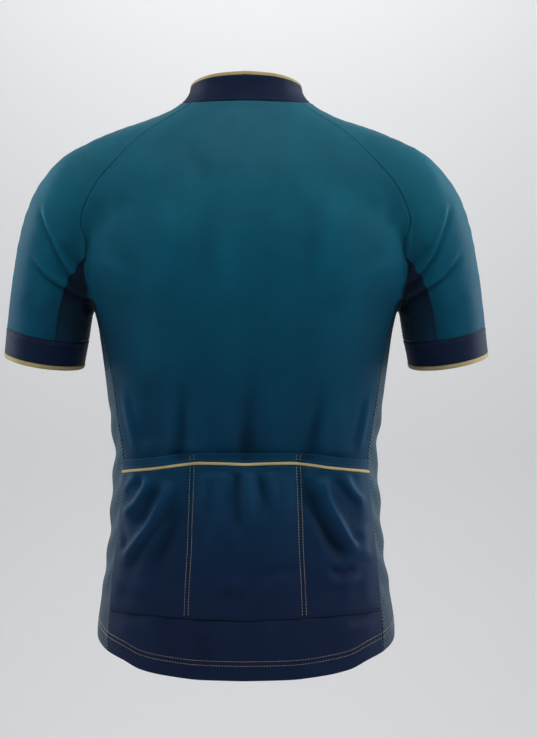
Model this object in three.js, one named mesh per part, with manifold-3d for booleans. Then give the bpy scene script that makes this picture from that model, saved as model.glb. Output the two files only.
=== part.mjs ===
// Short-sleeved cycling jersey, worn shape, hollow: neck, hem and cuffs open.
// Millimetres. +Z is up, +Y is the wearer's back, +X is the wearer's left.
// The origin is the middle of the neck seam, where the garment hangs on its wearer.

import * as THREE from 'three';
import Module from 'manifold-3d';
import { mergeVertices } from 'three/addons/utils/BufferGeometryUtils.js';

// ---------------------------------------------------------------- driving sizes
const CLOTH = 1.2;            // wall of the body panels
const COLLAR_WALL = 2.2;      // folded double collar
const RIB_WALL = 1.5;         // cuff band
const SEAM = 0.16;            // each panel stops this far from the seam line
const LAYER = 0.4;            // air between a panel and what is sewn on it
const EDGE_TOP = 3.0;         // height of the piping on the collar
const COLLAR_FLARE = 2.4;     // how sharply the collar spreads to its seam
const ZIP_HALF = 3.15;        // half the space that the fronts leave for the zip
const ZIP_WALL = 1.8;
const ZIP_PROUD = 0.4;
const ZIP_END = 0.83;         // where the chain ends, as a share of the collar height
const POCKET_FULL = 8.5;      // how far the middle of a pocket stands off the back
const POCKET_MOUTH = 0.72;    // share of that fullness at the mouth
const CUFF_TOP = 8.14;        // places along the sleeve, counted in rows of SLEEVE
const CUFF_TRIM = 8.78;
const CUFF_END = 8.885;
const HALF_COLUMNS = 9;       // columns from the back's middle to its edge
const POCKET_COLUMNS = 3;     // of which this many lie on the middle pocket
const FRONT_COLUMNS = 7;
const SLEEVE_COLUMNS = 10;
const SIDE_COLUMNS = 3;

const rows = (names, data) => data.map((r) => Object.fromEntries(names.map((n, i) => [n, r[i]])));
const column = (table, name) => table.map((r) => r[name]);

// Body sections: half width, depth behind and before the middle, corner power.
const TORSO = rows(['z', 'half', 'back', 'front', 'power'], [
  [30, 40, 36, 40, 2.0],
  [0, 68, 62, 62, 2.0],
  [-12, 78, 67, 60, 2.0],
  [-24, 91, 73, 62, 2.05],
  [-48, 124, 84, 71, 2.15],
  [-80, 157, 97, 92, 2.25],
  [-120, 182, 107, 109, 2.35],
  [-160, 194, 113, 119, 2.4],
  [-190, 195, 114, 123, 2.4],
  [-206, 191.5, 114, 123, 2.4],
  [-224, 186, 113, 123, 2.4],
  [-240, 177.5, 111, 123, 2.4],
  [-311, 165, 100, 117, 2.35],
  [-370, 158, 91, 110, 2.3],
  [-412, 153, 87, 106, 2.3],
  [-450, 156, 90, 104, 2.3],
  [-500, 159, 98, 105, 2.3],
  [-560, 166, 107, 107, 2.3],
  [-620, 173, 112, 110, 2.3],
  [-700, 173, 113, 112, 2.3],
]);

// Sleeve sections, left side: middle, half width across and front to back,
// and the slope of the section's plane outwards and forwards, in degrees.
const SLEEVE = rows(['x', 'y', 'z', 'across', 'depth', 'tilt', 'lean'], [
  [30, 2, -52, 32, 38, 104, 0],
  [62, 2, -62, 40, 46, 92, 0],
  [100, 3, -76, 49, 54, 80, 0],
  [136, 3, -88, 53, 60, 70, 0],
  [168, 3, -104, 58, 64, 57, 0],
  [192, 1, -126, 58, 65, 41, 1],
  [211, -3, -162, 54, 63, 23, 3],
  [224, -10, -210, 50, 61, 13, 6],
  [232, -18, -262, 49, 59, 10, 8],
  [238.5, -25, -306, 47, 57, 9, 9],
  [243, -31, -345, 47, 57, 9, 9],
]);

// Height of the neck seam round the neck. 90 is the middle of the back.
const NECK = rows(['angle', 'z'], [
  [-90, -48], [-65, -37], [-48, -22], [-34, -11], [-20, -4], [0, -0.5], [29.5, -2.6], [60, -3], [90, -3],
]);

// Armhole seam, as the angle round the body at each height.
const RAGLAN_BACK = rows(['z', 'angle'], [
  [-2.6, 29.5], [-12, 24.8], [-26, 24.0], [-46, 24.5], [-66, 24.4], [-88, 23.0], [-112, 21.1],
  [-138, 19.0], [-163, 17.3], [-182, 15.3], [-206, 12.3], [-224, 9.3],
]);
const RAGLAN_FRONT = rows(['z', 'angle'], [
  [-22, -48], [-34, -38], [-48, -33.5], [-64, -30.5], [-84, -27.5], [-106, -25.2], [-130, -22.8],
  [-152, -20.0], [-170, -18.4], [-186, -17.4], [-206, -15.9], [-224, -14.2],
]);
// Under the arm the seam lies in the crease between body and sleeve, at these angles
// between the back corner and the front corner of the armhole.
const UNDERARM = rows(['angle'], [[9.3], [2.4], [-6], [-14.2]]);
const CREASE = { near: 170, far: 192, low: -262, high: -210 };
const CORNER_Z = -224;

// Side seams and the column line that runs down the pocket stitching.
const SIDE_BACK = rows(['z', 'angle'], [
  [-224, 9.3], [-250, 10.8], [-283, 13.2], [-318, 15.0], [-384, 15.4], [-417, 16.2], [-440, 17.4],
  [-485, 17.6], [-522, 17.4], [-569, 18.3], [-600, 19.2], [-640, 19.4],
]);
const SIDE_FRONT = rows(['z', 'angle'], [
  [-224, -14.2], [-250, -14.6], [-283, -15.1], [-318, -15.8], [-384, -16.2], [-440, -17.4],
  [-522, -17.6], [-569, -18.2], [-640, -18.6],
]);
const DIVIDER = rows(['z', 'angle'], [
  [0, 66], [-60, 56], [-110, 50], [-200, 48], [-300, 50], [-380, 53], [-409, 53.7], [-460, 54.5],
  [-528, 56.8], [-593, 57.6], [-664, 60],
]);
// The mesh panel under the sleeve: angle round the sleeve at each place along it.
const UNDER = rows(['place', 'angle'], [
  [6.15, 119.5], [6.31, 116.9], [6.56, 112.6], [6.83, 108.2], [7.21, 105.4], [7.57, 104.0], [8.14, 104.4],
]);

// Lines across the lower back, by angle.
const BAND_TOP = rows(['angle', 'z'], [[0, -420], [16, -417], [34, -412.8], [47, -408.4], [58, -407], [90, -407.6]]);
const TRIM_TOP = rows(['angle', 'z'], [[0, -431], [17, -428], [37, -423.2], [50, -418.4], [58, -416.8], [90, -418.2]]);
const TRIM_END = rows(['angle', 'z'], [[0, -434.5], [17, -431.5], [37, -426.7], [50, -421.9], [58, -420.3], [90, -421.7]]);
const POCKET_END = rows(['angle', 'z'], [[0, -588], [19, -588.8], [39, -590.4], [58, -593], [90, -595.4]]);
const HEM = rows(['angle', 'z'], [
  [-90, -600], [-45, -601], [-18, -606], [0, -617], [19, -635.4], [28, -643.1], [37, -652.7],
  [50, -658.7], [65, -662.2], [90, -663.2],
]);
// Rows of the upper back below the neck, then shares of the way down a pocket and the hem.
const POCKET_ROWS = 7;
const HEM_ROWS = 3;
// Heights of the front's rows at its middle, down to the armhole's lowest corner.
const FRONT_MIDDLE = [-48, -57, -68, -82, -99, -118, -138, -157, -175, -192, -208, -224];
const SIDE_ROWS = [-250, -283, -318, -352, -384];

// Collar rim, by angle.
const RIM = { half: 65, back: 58, front: 62 };
const RIM_HEIGHT = rows(['angle', 'z'], [[-90, -10], [-45, 4], [0, 18], [22, 22.5], [40, 26], [60, 29], [90, 30.8]]);

// The largest folds. Each is a soft ridge (height above 0) or trough through three
// points of the x-z view, on the back (side 1) or the front (side -1).
const FOLDS = rows(['side', 'x1', 'z1', 'x2', 'z2', 'x3', 'z3', 'reach', 'height'], [
  [1, 74, -318, 76, -362, 72, -412, 24, -2.6],
  [1, 0, -300, -1, -360, 0, -412, 26, -2.8],
  [1, -66, -322, -72, -366, -78, -410, 24, -2.6],
  [1, 60, -60, 46, -86, 34, -112, 24, -2.2],
  [1, 82, -96, 84, -150, 80, -200, 26, 1.8],
  [1, 28, -150, 28, -210, 24, -270, 22, 1.6],
  [1, -24, -170, -24, -210, -22, -250, 24, -1.8],
  [1, -78, -130, -80, -160, -78, -190, 24, -1.8],
  [1, 234, -128, 222, -165, 196, -198, 22, 3.2],
  [1, 249, -180, 224, -209, 190, -222, 20, 3.0],
  [1, -230, -130, -214, -178, -192, -206, 22, 3.2],
  [1, -248, -182, -222, -212, -190, -222, 20, 3.0],
  [-1, 232, -132, 216, -172, 190, -206, 22, 3.0],
  [-1, 246, -190, 222, -214, 192, -224, 20, 2.6],
  [-1, -232, -128, -218, -168, -192, -200, 22, 3.0],
  [-1, -246, -186, -224, -210, -194, -222, 20, 2.6],
  [-1, 60, -300, 66, -370, 58, -440, 26, -2.4],
  [-1, -56, -310, -62, -372, -66, -430, 26, -2.4],
  [-1, 118, -250, 96, -300, 84, -350, 24, 2.0],
  [-1, -118, -240, -100, -296, -86, -356, 24, 2.0],
  [-1, 92, -90, 112, -130, 140, -180, 24, 2.0],
  [-1, -92, -96, -110, -136, -138, -184, 24, 2.0],
]);

// ---------------------------------------------------------------- small maths
const rad = Math.PI / 180;
const lerp = (a, b, t) => a + (b - a) * t;
const clamp = (t, a = 0, b = 1) => Math.min(b, Math.max(a, t));
const smooth = (a, b, x) => { const t = clamp((x - a) / (b - a)); return t * t * (3 - 2 * t); };
const add = (a, b, k = 1) => [a[0] + b[0] * k, a[1] + b[1] * k, a[2] + b[2] * k];
const sub = (a, b) => [a[0] - b[0], a[1] - b[1], a[2] - b[2]];
const dot = (a, b) => a[0] * b[0] + a[1] * b[1] + a[2] * b[2];
const cross = (a, b) => [a[1] * b[2] - a[2] * b[1], a[2] * b[0] - a[0] * b[2], a[0] * b[1] - a[1] * b[0]];
const unit = (a) => { const l = Math.hypot(...a) || 1; return [a[0] / l, a[1] / l, a[2] / l]; };
const mirror = (p) => [-p[0], p[1], p[2]];

// A smooth curve through a table that never overshoots it.
function curve(table, from, to) {
  const t = [...table].sort((a, b) => a[from] - b[from]);
  const x = column(t, from), y = column(t, to), n = x.length;
  const d = x.slice(1).map((v, i) => (y[i + 1] - y[i]) / (v - x[i]));
  const m = y.map((_, i) => {
    if (i === 0) return d[0];
    if (i === n - 1) return d[n - 2];
    if (d[i - 1] * d[i] <= 0) return 0;
    const w1 = 2 * (x[i + 1] - x[i]) + (x[i] - x[i - 1]), w2 = (x[i + 1] - x[i]) + 2 * (x[i] - x[i - 1]);
    return (w1 + w2) / (w1 / d[i - 1] + w2 / d[i]);
  });
  return (v) => {
    const q = clamp(v, x[0], x[n - 1]);
    let i = 0;
    while (i < n - 2 && q > x[i + 1]) i += 1;
    const h = x[i + 1] - x[i], u = (q - x[i]) / h, u2 = u * u, u3 = u2 * u;
    return (2 * u3 - 3 * u2 + 1) * y[i] + (u3 - 2 * u2 + u) * h * m[i] + (-2 * u3 + 3 * u2) * y[i + 1] + (u3 - u2) * h * m[i + 1];
  };
}

// A smooth line through the rows of a table, by row number.
function sweep(table, names) {
  const list = table.map((r) => names.map((n) => r[n]));
  const last = list.length - 1;
  return (s) => {
    const i = clamp(Math.floor(s), 0, last - 1), u = s - i;
    const b = list[i], c = list[i + 1];
    const a = i > 0 ? list[i - 1] : b.map((v, k) => 2 * v - c[k]);
    const d = i < last - 1 ? list[i + 2] : c.map((v, k) => 2 * v - b[k]);
    return b.map((v, k) => 0.5 * (2 * v + (c[k] - a[k]) * u + (2 * a[k] - 5 * v + 4 * c[k] - d[k]) * u * u
      + (3 * v - a[k] - 3 * c[k] + d[k]) * u * u * u));
  };
}

// ---------------------------------------------------------------- the garment's surface
const half = curve(TORSO, 'z', 'half'), back = curve(TORSO, 'z', 'back');
const front = curve(TORSO, 'z', 'front'), power = curve(TORSO, 'z', 'power');
const sleeveRow = sweep(SLEEVE, ['x', 'y', 'z', 'across', 'depth', 'tilt', 'lean']);
const tube = Array.from({ length: 3 * (SLEEVE.length - 1) + 1 }, (_, i) => sleeveRow(i / 3));

function bodyRadius(c, s, z) {
  const a = half(z), b = s >= 0 ? back(z) : front(z), n = power(z);
  return (Math.abs(c / a) ** n + Math.abs(s / b) ** n) ** (-1 / n);
}
function bodyField(x, y, z) {
  const r = Math.hypot(x, y) + 1e-9, c = x / r, s = y / r;
  const slope = (bodyRadius(c, s, z + 1) - bodyRadius(c, s, z - 1)) / 2;
  return (r - bodyRadius(c, s, z)) / Math.sqrt(1 + slope * slope);
}
function sleeveField(x0, y, z) {
  const x = Math.abs(x0);
  let best = 1e9;
  for (let i = 0; i < tube.length - 1; i += 1) {
    const a = tube[i], b = tube[i + 1];
    const dx = b[0] - a[0], dy = b[1] - a[1], dz = b[2] - a[2];
    const px = x - a[0], py = y - a[1], pz = z - a[2];
    const h = clamp((px * dx + py * dy + pz * dz) / (dx * dx + dy * dy + dz * dz));
    const ru = lerp(a[3], b[3], h), rv = lerp(a[4], b[4], h);
    const qx = px - h * dx, qy = py - h * dy, qz = pz - h * dz;
    const w = qx * qx + qz * qz, r = Math.sqrt(w + qy * qy);
    const q = Math.sqrt(w / (ru * ru) + qy * qy / (rv * rv)) + 1e-9;
    best = Math.min(best, r - r / q);
  }
  return best;
}
// Body and sleeve run into each other, softly on the shoulder and sharply under the arm.
function field(x, y, z) {
  const a = bodyField(x, y, z), b = sleeveField(x, y, z);
  const k = 7 + 43 * smooth(-190, -70, z);
  const h = clamp(0.5 + 0.5 * (b - a) / k);
  return lerp(b, a, h) - k * h * (1 - h);
}
const outward = ([x, y, z]) => unit([
  field(x + 0.8, y, z) - field(x - 0.8, y, z),
  field(x, y + 0.8, z) - field(x, y - 0.8, z),
  field(x, y, z + 0.8) - field(x, y, z - 0.8),
]);
// First point of the surface along a ray that starts inside.
function meet(o, d, from = 15, to = 330, step = 2) {
  let a = from, b = from;
  while (b < to) {
    b += step;
    if (field(o[0] + d[0] * b, o[1] + d[1] * b, o[2] + d[2] * b) > 0) break;
    a = b;
  }
  for (let i = 0; i < 24; i += 1) {
    const m = (a + b) / 2;
    if (field(o[0] + d[0] * m, o[1] + d[1] * m, o[2] + d[2] * m) < 0) a = m; else b = m;
  }
  return add(o, d, (a + b) / 2);
}
const bodyPoint = (angle, z) => meet([0, 0, z], [Math.cos(angle * rad), Math.sin(angle * rad), 0]);
// Top of the crease under the arm, at one angle round the body.
function creasePoint(angle) {
  const c = Math.cos(angle * rad), n = Math.sin(angle * rad);
  let best = [0, 0, -1e9];
  for (let r = CREASE.near; r <= CREASE.far; r += 0.25) {
    let a = CREASE.low, b = CREASE.low;
    if (field(r * c, r * n, a) < 0) continue;
    while (b < CREASE.high) { b += 1; if (field(r * c, r * n, b) < 0) break; a = b; }
    for (let i = 0; i < 16; i += 1) { const m = (a + b) / 2; if (field(r * c, r * n, m) < 0) b = m; else a = m; }
    if (a > best[2]) best = [r * c, r * n, a];
  }
  return best;
}
const underarmPoint = (i) => (i === 0 || i === UNDERARM.length - 1
  ? bodyPoint(UNDERARM[i].angle, CORNER_Z) : creasePoint(UNDERARM[i].angle));
const zipPoint = (z) => meet([ZIP_HALF, 0, z], [0, -1, 0]);

function sleeveFrame(s) {
  const [x, y, z, , , tilt, lean] = sleeveRow(s);
  const a = tilt * rad, l = lean * rad;
  const u = [Math.cos(a), 0, Math.sin(a)];
  const along = [Math.sin(a) * Math.cos(l), -Math.sin(l), -Math.cos(a) * Math.cos(l)];
  return { c: [x, y, z], u, along, v: cross(u, along) };
}
function sleevePoint(angle, s) {
  const f = sleeveFrame(s), c = Math.cos(angle * rad), n = Math.sin(angle * rad);
  return meet(f.c, unit(add(f.u.map((k) => k * c), f.v, n)), 15, 160);
}
// Angle round the sleeve and place along it of a point on the surface.
function onSleeve(p) {
  const off = (s) => { const f = sleeveFrame(s); return dot(sub(p, f.c), f.along); };
  let a = 0, b = 0;
  while (b < SLEEVE.length - 1.02 && !(off(a) >= 0 && off(b + 0.02) < 0)) { b += 0.02; a = b; }
  b += 0.02;
  for (let i = 0; i < 30; i += 1) { const m = (a + b) / 2; if (off(m) >= 0) a = m; else b = m; }
  const f = sleeveFrame(a), q = sub(p, f.c);
  return { angle: Math.atan2(dot(q, f.v), dot(q, f.u)) / rad, place: a };
}

// ---------------------------------------------------------------- seam lines
const neckZ = curve(NECK, 'angle', 'z'), rimZ = curve(RIM_HEIGHT, 'angle', 'z');
const raglanBack = curve(RAGLAN_BACK, 'z', 'angle'), raglanFront = curve(RAGLAN_FRONT, 'z', 'angle');
const sideBack = curve(SIDE_BACK, 'z', 'angle'), sideFront = curve(SIDE_FRONT, 'z', 'angle');
const divider = curve(DIVIDER, 'z', 'angle'), under = curve(UNDER, 'place', 'angle');
const bandTop = curve(BAND_TOP, 'angle', 'z'), trimTop = curve(TRIM_TOP, 'angle', 'z');
const trimEnd = curve(TRIM_END, 'angle', 'z'), pocketEnd = curve(POCKET_END, 'angle', 'z');
const hem = curve(HEM, 'angle', 'z');

const backEdge = (z) => (z > CORNER_Z ? raglanBack(z) : sideBack(z));
const raglanZ = column(RAGLAN_BACK, 'z');

// Rows of the back: the height of each as a function of the angle.
const backRows = [
  neckZ,
  ...raglanZ.slice(1).map((z) => () => z),
  ...SIDE_ROWS.map((z) => () => z),
  bandTop, trimTop, trimEnd,
  ...Array.from({ length: POCKET_ROWS }, (_, i) => (t) => lerp(trimEnd(t), pocketEnd(t), (i + 1) / POCKET_ROWS)),
  ...Array.from({ length: HEM_ROWS }, (_, i) => (t) => lerp(pocketEnd(t), hem(t), (i + 1) / HEM_ROWS)),
];
const ROW_CORNER = RAGLAN_BACK.length - 1;           // lowest corner of the armhole
const ROW_BAND = ROW_CORNER + SIDE_ROWS.length + 1;  // pocket mouth
const ROW_TRIM = ROW_BAND + 1;
const ROW_POCKET = ROW_BAND + 2;
const ROW_HEM = ROW_POCKET + POCKET_ROWS;
const ROW_END = ROW_HEM + HEM_ROWS;

// Where a row of the back meets its edge: the seam's own point.
function edgeOf(j) {
  if (j === 0) return { angle: RAGLAN_BACK[0].angle, z: raglanZ[0] };
  let angle = 16, z = 0;
  for (let i = 0; i < 12; i += 1) { z = backRows[j](angle); angle = backEdge(z); }
  return { angle, z };
}
const backEdges = backRows.map((_, j) => edgeOf(j));
const share = (i) => {
  const t = Math.abs(i - HALF_COLUMNS) / HALF_COLUMNS, c = POCKET_COLUMNS / HALF_COLUMNS;
  return t <= c ? { middle: t / c } : { middle: 1, side: (t - c) / (1 - c) };
};
function backPoint(i, j) {
  const e = backEdges[j], k = share(i);
  const d = divider(e.z);
  let angle = k.side === undefined ? lerp(90, d, k.middle) : lerp(d, e.angle, k.side);
  const z = k.side === 1 ? e.z : backRows[j](angle);
  if (k.side === 1) angle = e.angle;
  const p = bodyPoint(angle, z);
  return i < HALF_COLUMNS ? p : mirror(p);
}
const backGrid = (from, to) => grid(2 * HALF_COLUMNS, to - from, (i, j) => backPoint(i, j + from));

function grid(columns, lines, f) {
  return Array.from({ length: lines + 1 }, (_, j) => Array.from({ length: columns + 1 }, (_, i) => f(i, j)));
}

// The front edge of the side panel has one point for each row of the back's side seam.
const frontEdgeZ = [
  ...column(RAGLAN_FRONT, 'z'),
  ...SIDE_ROWS, -412, -426, -433,
  ...Array.from({ length: POCKET_ROWS + HEM_ROWS }, (_, i) => lerp(-433, hem(-18.5), (i + 1) / (POCKET_ROWS + HEM_ROWS))),
];
const frontEdgeAngle = (j) => (j <= ROW_CORNER ? raglanFront(frontEdgeZ[j]) : sideFront(frontEdgeZ[j]));
const frontMiddleZ = frontEdgeZ.map((z, j) => (j <= ROW_CORNER ? FRONT_MIDDLE[j]
  : j <= ROW_POCKET ? z : lerp(-433, hem(-90), (j - ROW_POCKET) / (POCKET_ROWS + HEM_ROWS))));

const frontGrid = grid(FRONT_COLUMNS, ROW_END, (i, j) => {
  if (i === 0) return zipPoint(frontMiddleZ[j]);
  const t = i / FRONT_COLUMNS;
  const a0 = -90 + ZIP_HALF / 1.2, a1 = frontEdgeAngle(j);
  const angle = lerp(a0, a1, t);
  const neckShare = (neckZ(lerp(a0, RAGLAN_FRONT[0].angle, t)) - NECK[0].z) / (RAGLAN_FRONT[0].z - NECK[0].z);
  let z = lerp(frontMiddleZ[j], frontEdgeZ[j], clamp(neckShare));
  if (j === ROW_END) z = hem(angle);
  if (i === FRONT_COLUMNS) z = frontEdgeZ[j];
  return bodyPoint(angle, z);
});

// Side panel: rows from the back seam to the front seam, top edge under the arm.
const sideGrid = grid(SIDE_COLUMNS, ROW_END - ROW_CORNER, (i, k) => {
  const j = k + ROW_CORNER, t = i / SIDE_COLUMNS;
  if (k === 0) return underarmPoint(i);
  const angle = lerp(backEdges[j].angle, frontEdgeAngle(j), t);
  let z = lerp(backEdges[j].z, frontEdgeZ[j], t);
  if (j === ROW_END && i > 0 && i < SIDE_COLUMNS) z = hem(angle);
  return bodyPoint(angle, z);
});

// Sleeve: its back edge runs down the armhole to the mesh panel, then down its seam.
const GUSSET = 9;                                    // armhole point where the mesh starts
const SLEEVE_ROWS = 14;
const seamPlaces = (p, count) => {
  const s = onSleeve(p).place;
  return Array.from({ length: count + 1 }, (_, i) => lerp(s, CUFF_TOP, i / count));
};
function sleeveEdge(side) {
  const table = side > 0 ? RAGLAN_BACK : RAGLAN_FRONT;
  const top = table.slice(0, GUSSET + 1).map((r) => bodyPoint(r.angle, r.z));
  const start = onSleeve(top[GUSSET]);
  const low = seamPlaces(top[GUSSET], SLEEVE_ROWS - GUSSET).slice(1).map((s) => {
    const fade = 1 - smooth(start.place, start.place + 0.9, s);
    const angle = under(s) + fade * (Math.abs(start.angle) - under(start.place));
    return sleevePoint(side * angle, s);
  });
  return [...top, ...low];
}
const edgeBack = sleeveEdge(1), edgeFront = sleeveEdge(-1);
const unwrap = (c, low) => ({ angle: low && c.angle < 0 ? c.angle + 360 : c.angle, place: c.place });

// A panel on the sleeve that fills four given edges, worked out in angle and place.
function sleevePatch(left, right, top, bottom, low) {
  const chart = (list) => list.map((p) => unwrap(onSleeve(p), low));
  const L = chart(left), R = chart(right), T = chart(top), B = chart(bottom);
  const n = top.length - 1, m = left.length - 1;
  return grid(n, m, (i, j) => {
    if (j === 0) return top[i];
    if (j === m) return bottom[i];
    if (i === 0) return left[j];
    if (i === n) return right[j];
    const u = i / n, v = j / m, w = low ? 1 - v : (1 - v) ** 2;
    const value = (k) => lerp(L[j][k], R[j][k], u)
      + w * (T[i][k] - lerp(T[0][k], T[n][k], u)) + v * v * (B[i][k] - lerp(B[0][k], B[n][k], u));
    return sleevePoint(value('angle'), value('place'));
  });
}
const neckArc = Array.from({ length: SLEEVE_COLUMNS + 1 }, (_, i) => {
  if (i === 0) return edgeBack[0];
  if (i === SLEEVE_COLUMNS) return edgeFront[0];
  const angle = lerp(RAGLAN_BACK[0].angle, RAGLAN_FRONT[0].angle, i / SLEEVE_COLUMNS);
  return bodyPoint(angle, neckZ(angle));
});
const cuffAngle = onSleeve(edgeBack[SLEEVE_ROWS]).angle, cuffAngleFront = onSleeve(edgeFront[SLEEVE_ROWS]).angle;
const UNDER_COLUMNS = 2 * (ROW_CORNER - GUSSET) + SIDE_COLUMNS;
const cuffOuter = Array.from({ length: SLEEVE_COLUMNS + 1 }, (_, i) => (i === 0 ? edgeBack[SLEEVE_ROWS]
  : i === SLEEVE_COLUMNS ? edgeFront[SLEEVE_ROWS]
    : sleevePoint(lerp(cuffAngle, cuffAngleFront, i / SLEEVE_COLUMNS), CUFF_TOP)));
const cuffInner = Array.from({ length: UNDER_COLUMNS + 1 }, (_, i) => (i === 0 ? edgeBack[SLEEVE_ROWS]
  : i === UNDER_COLUMNS ? edgeFront[SLEEVE_ROWS]
    : sleevePoint(lerp(cuffAngle, cuffAngleFront + 360, i / UNDER_COLUMNS), CUFF_TOP)));
const armpit = [
  ...RAGLAN_BACK.slice(GUSSET).map((r) => bodyPoint(r.angle, r.z)),
  ...UNDERARM.slice(1, -1).map((r, i) => underarmPoint(i + 1)),
  ...RAGLAN_FRONT.slice(GUSSET).reverse().map((r) => bodyPoint(r.angle, r.z)),
];
const sleeveGrid = sleevePatch(edgeBack, edgeFront, neckArc, cuffOuter, false);
const underGrid = sleevePatch(edgeBack.slice(GUSSET), edgeFront.slice(GUSSET), armpit, cuffInner, true);

// Cuff: a closed ring of rows below the sleeve, a little narrower than it.
const cuffRing = [...cuffOuter, ...cuffInner.slice(1, -1).reverse()];
function cuffRows(places) {
  return places.map((s) => cuffRing.map((p) => {
    const c = onSleeve(p), q = s === CUFF_TOP ? p : sleevePoint(c.angle, s);
    return q;
  }));
}

// Neck ring and collar, from one side of the zip right round to the other.
const neckRing = [
  ...frontGrid[0], ...[...neckArc].reverse().slice(1), ...backGrid(0, 0)[0].slice(1),
];
const neckLine = [...neckRing, ...[...frontGrid[0], ...[...neckArc].reverse().slice(1, -1)].reverse().map(mirror)];
function rimPoint(p) {
  const angle = Math.atan2(p[1] / (p[1] > 0 ? 62 : 71), Math.abs(p[0]) / 68) / rad;
  const c = Math.cos(angle * rad), s = Math.sin(angle * rad);
  const x = Math.abs(p[0]) < ZIP_HALF + 0.1 && p[1] < 0 ? ZIP_HALF : RIM.half * c;
  return [Math.sign(p[0] || 1) * (Math.abs(p[0]) < 1e-6 ? 0 : x), s > 0 ? RIM.back * s : RIM.front * s, rimZ(angle)];
}
const collarAt = (p, t) => {
  const q = rimPoint(p), inwards = 1 - (1 - t) ** COLLAR_FLARE;
  return [lerp(p[0], q[0], inwards), lerp(p[1], q[1], inwards), lerp(p[2], q[2], t)];
};
const collarOut = (p) => unit([p[0] / 66 ** 2, p[1] / 62 ** 2, 0.0]);

// ---------------------------------------------------------------- folds and fullness
function foldShift(p, n) {
  let total = 0;
  for (const f of FOLDS) {
    const faces = smooth(0.05, 0.35, f.side * n[1]);
    if (faces === 0) continue;
    const line = [[f.x1, f.z1], [f.x2, f.z2], [f.x3, f.z3]];
    let near = 1e9, along = 0;
    for (let i = 0; i < 2; i += 1) {
      const [ax, az] = line[i], bx = line[i + 1][0] - ax, bz = line[i + 1][1] - az;
      const t = clamp(((p[0] - ax) * bx + (p[2] - az) * bz) / (bx * bx + bz * bz));
      const d = Math.hypot(p[0] - ax - t * bx, p[2] - az - t * bz);
      if (d < near) { near = d; along = (i + t) / 2; }
    }
    const w = clamp(1 - (near / f.reach) ** 2);
    total += f.height * faces * w * w * (0.35 + 0.65 * Math.sin(Math.PI * clamp(along, 0.02, 0.98)));
  }
  return total;
}
// The pockets stand off the back between their stitched lines.
function pocketFull(i, j) {
  const k = share(i), down = (j - ROW_BAND) / (ROW_HEM - ROW_BAND);
  const across = k.side === undefined ? 1 - k.middle ** 2 : 4 * k.side * (1 - k.side);
  const fall = down < 0.4 ? lerp(POCKET_MOUTH, 1, smooth(0, 0.4, down)) : 1 - smooth(0.4, 1, down) ** 1.4;
  return POCKET_FULL * across * fall;
}

// ---------------------------------------------------------------- cloth walls
// Every panel is kept until all are known, so that each seam can be opened by the
// same small gap whatever the angle between the two panels there.
const panels = [];
const keyOf = (p) => p.map((v) => Math.round(v * 50)).join(',');
function panel(name, finish, base, { wall = CLOTH, lift = () => 0, out = outward, closed = false, flip = false } = {}) {
  const normal = base.map((line) => line.map((p) => out(p)));
  const top = base.map((line, j) => line.map((p, i) => {
    const n = normal[j][i];
    return add(p, n, lift(i, j) + (out === outward ? foldShift(p, n) : foldShift(p, outward(p)) * 0));
  }));
  panels.push({ name, finish, base, normal, top, wall, closed, flip });
}

function edges(pn) {
  const lines = pn.top.length, count = pn.top[0].length, list = [];
  for (let j = 0; j < lines; j += 1) {
    for (let i = 0; i < count; i += 1) {
      const ways = [];
      if (j === 0) ways.push([1, 0]);
      if (j === lines - 1) ways.push([-1, 0]);
      if (!pn.closed && i === 0) ways.push([0, 1]);
      if (!pn.closed && i === count - 1) ways.push([0, -1]);
      if (ways.length) list.push({ i, j, ways });
    }
  }
  return list;
}

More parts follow.
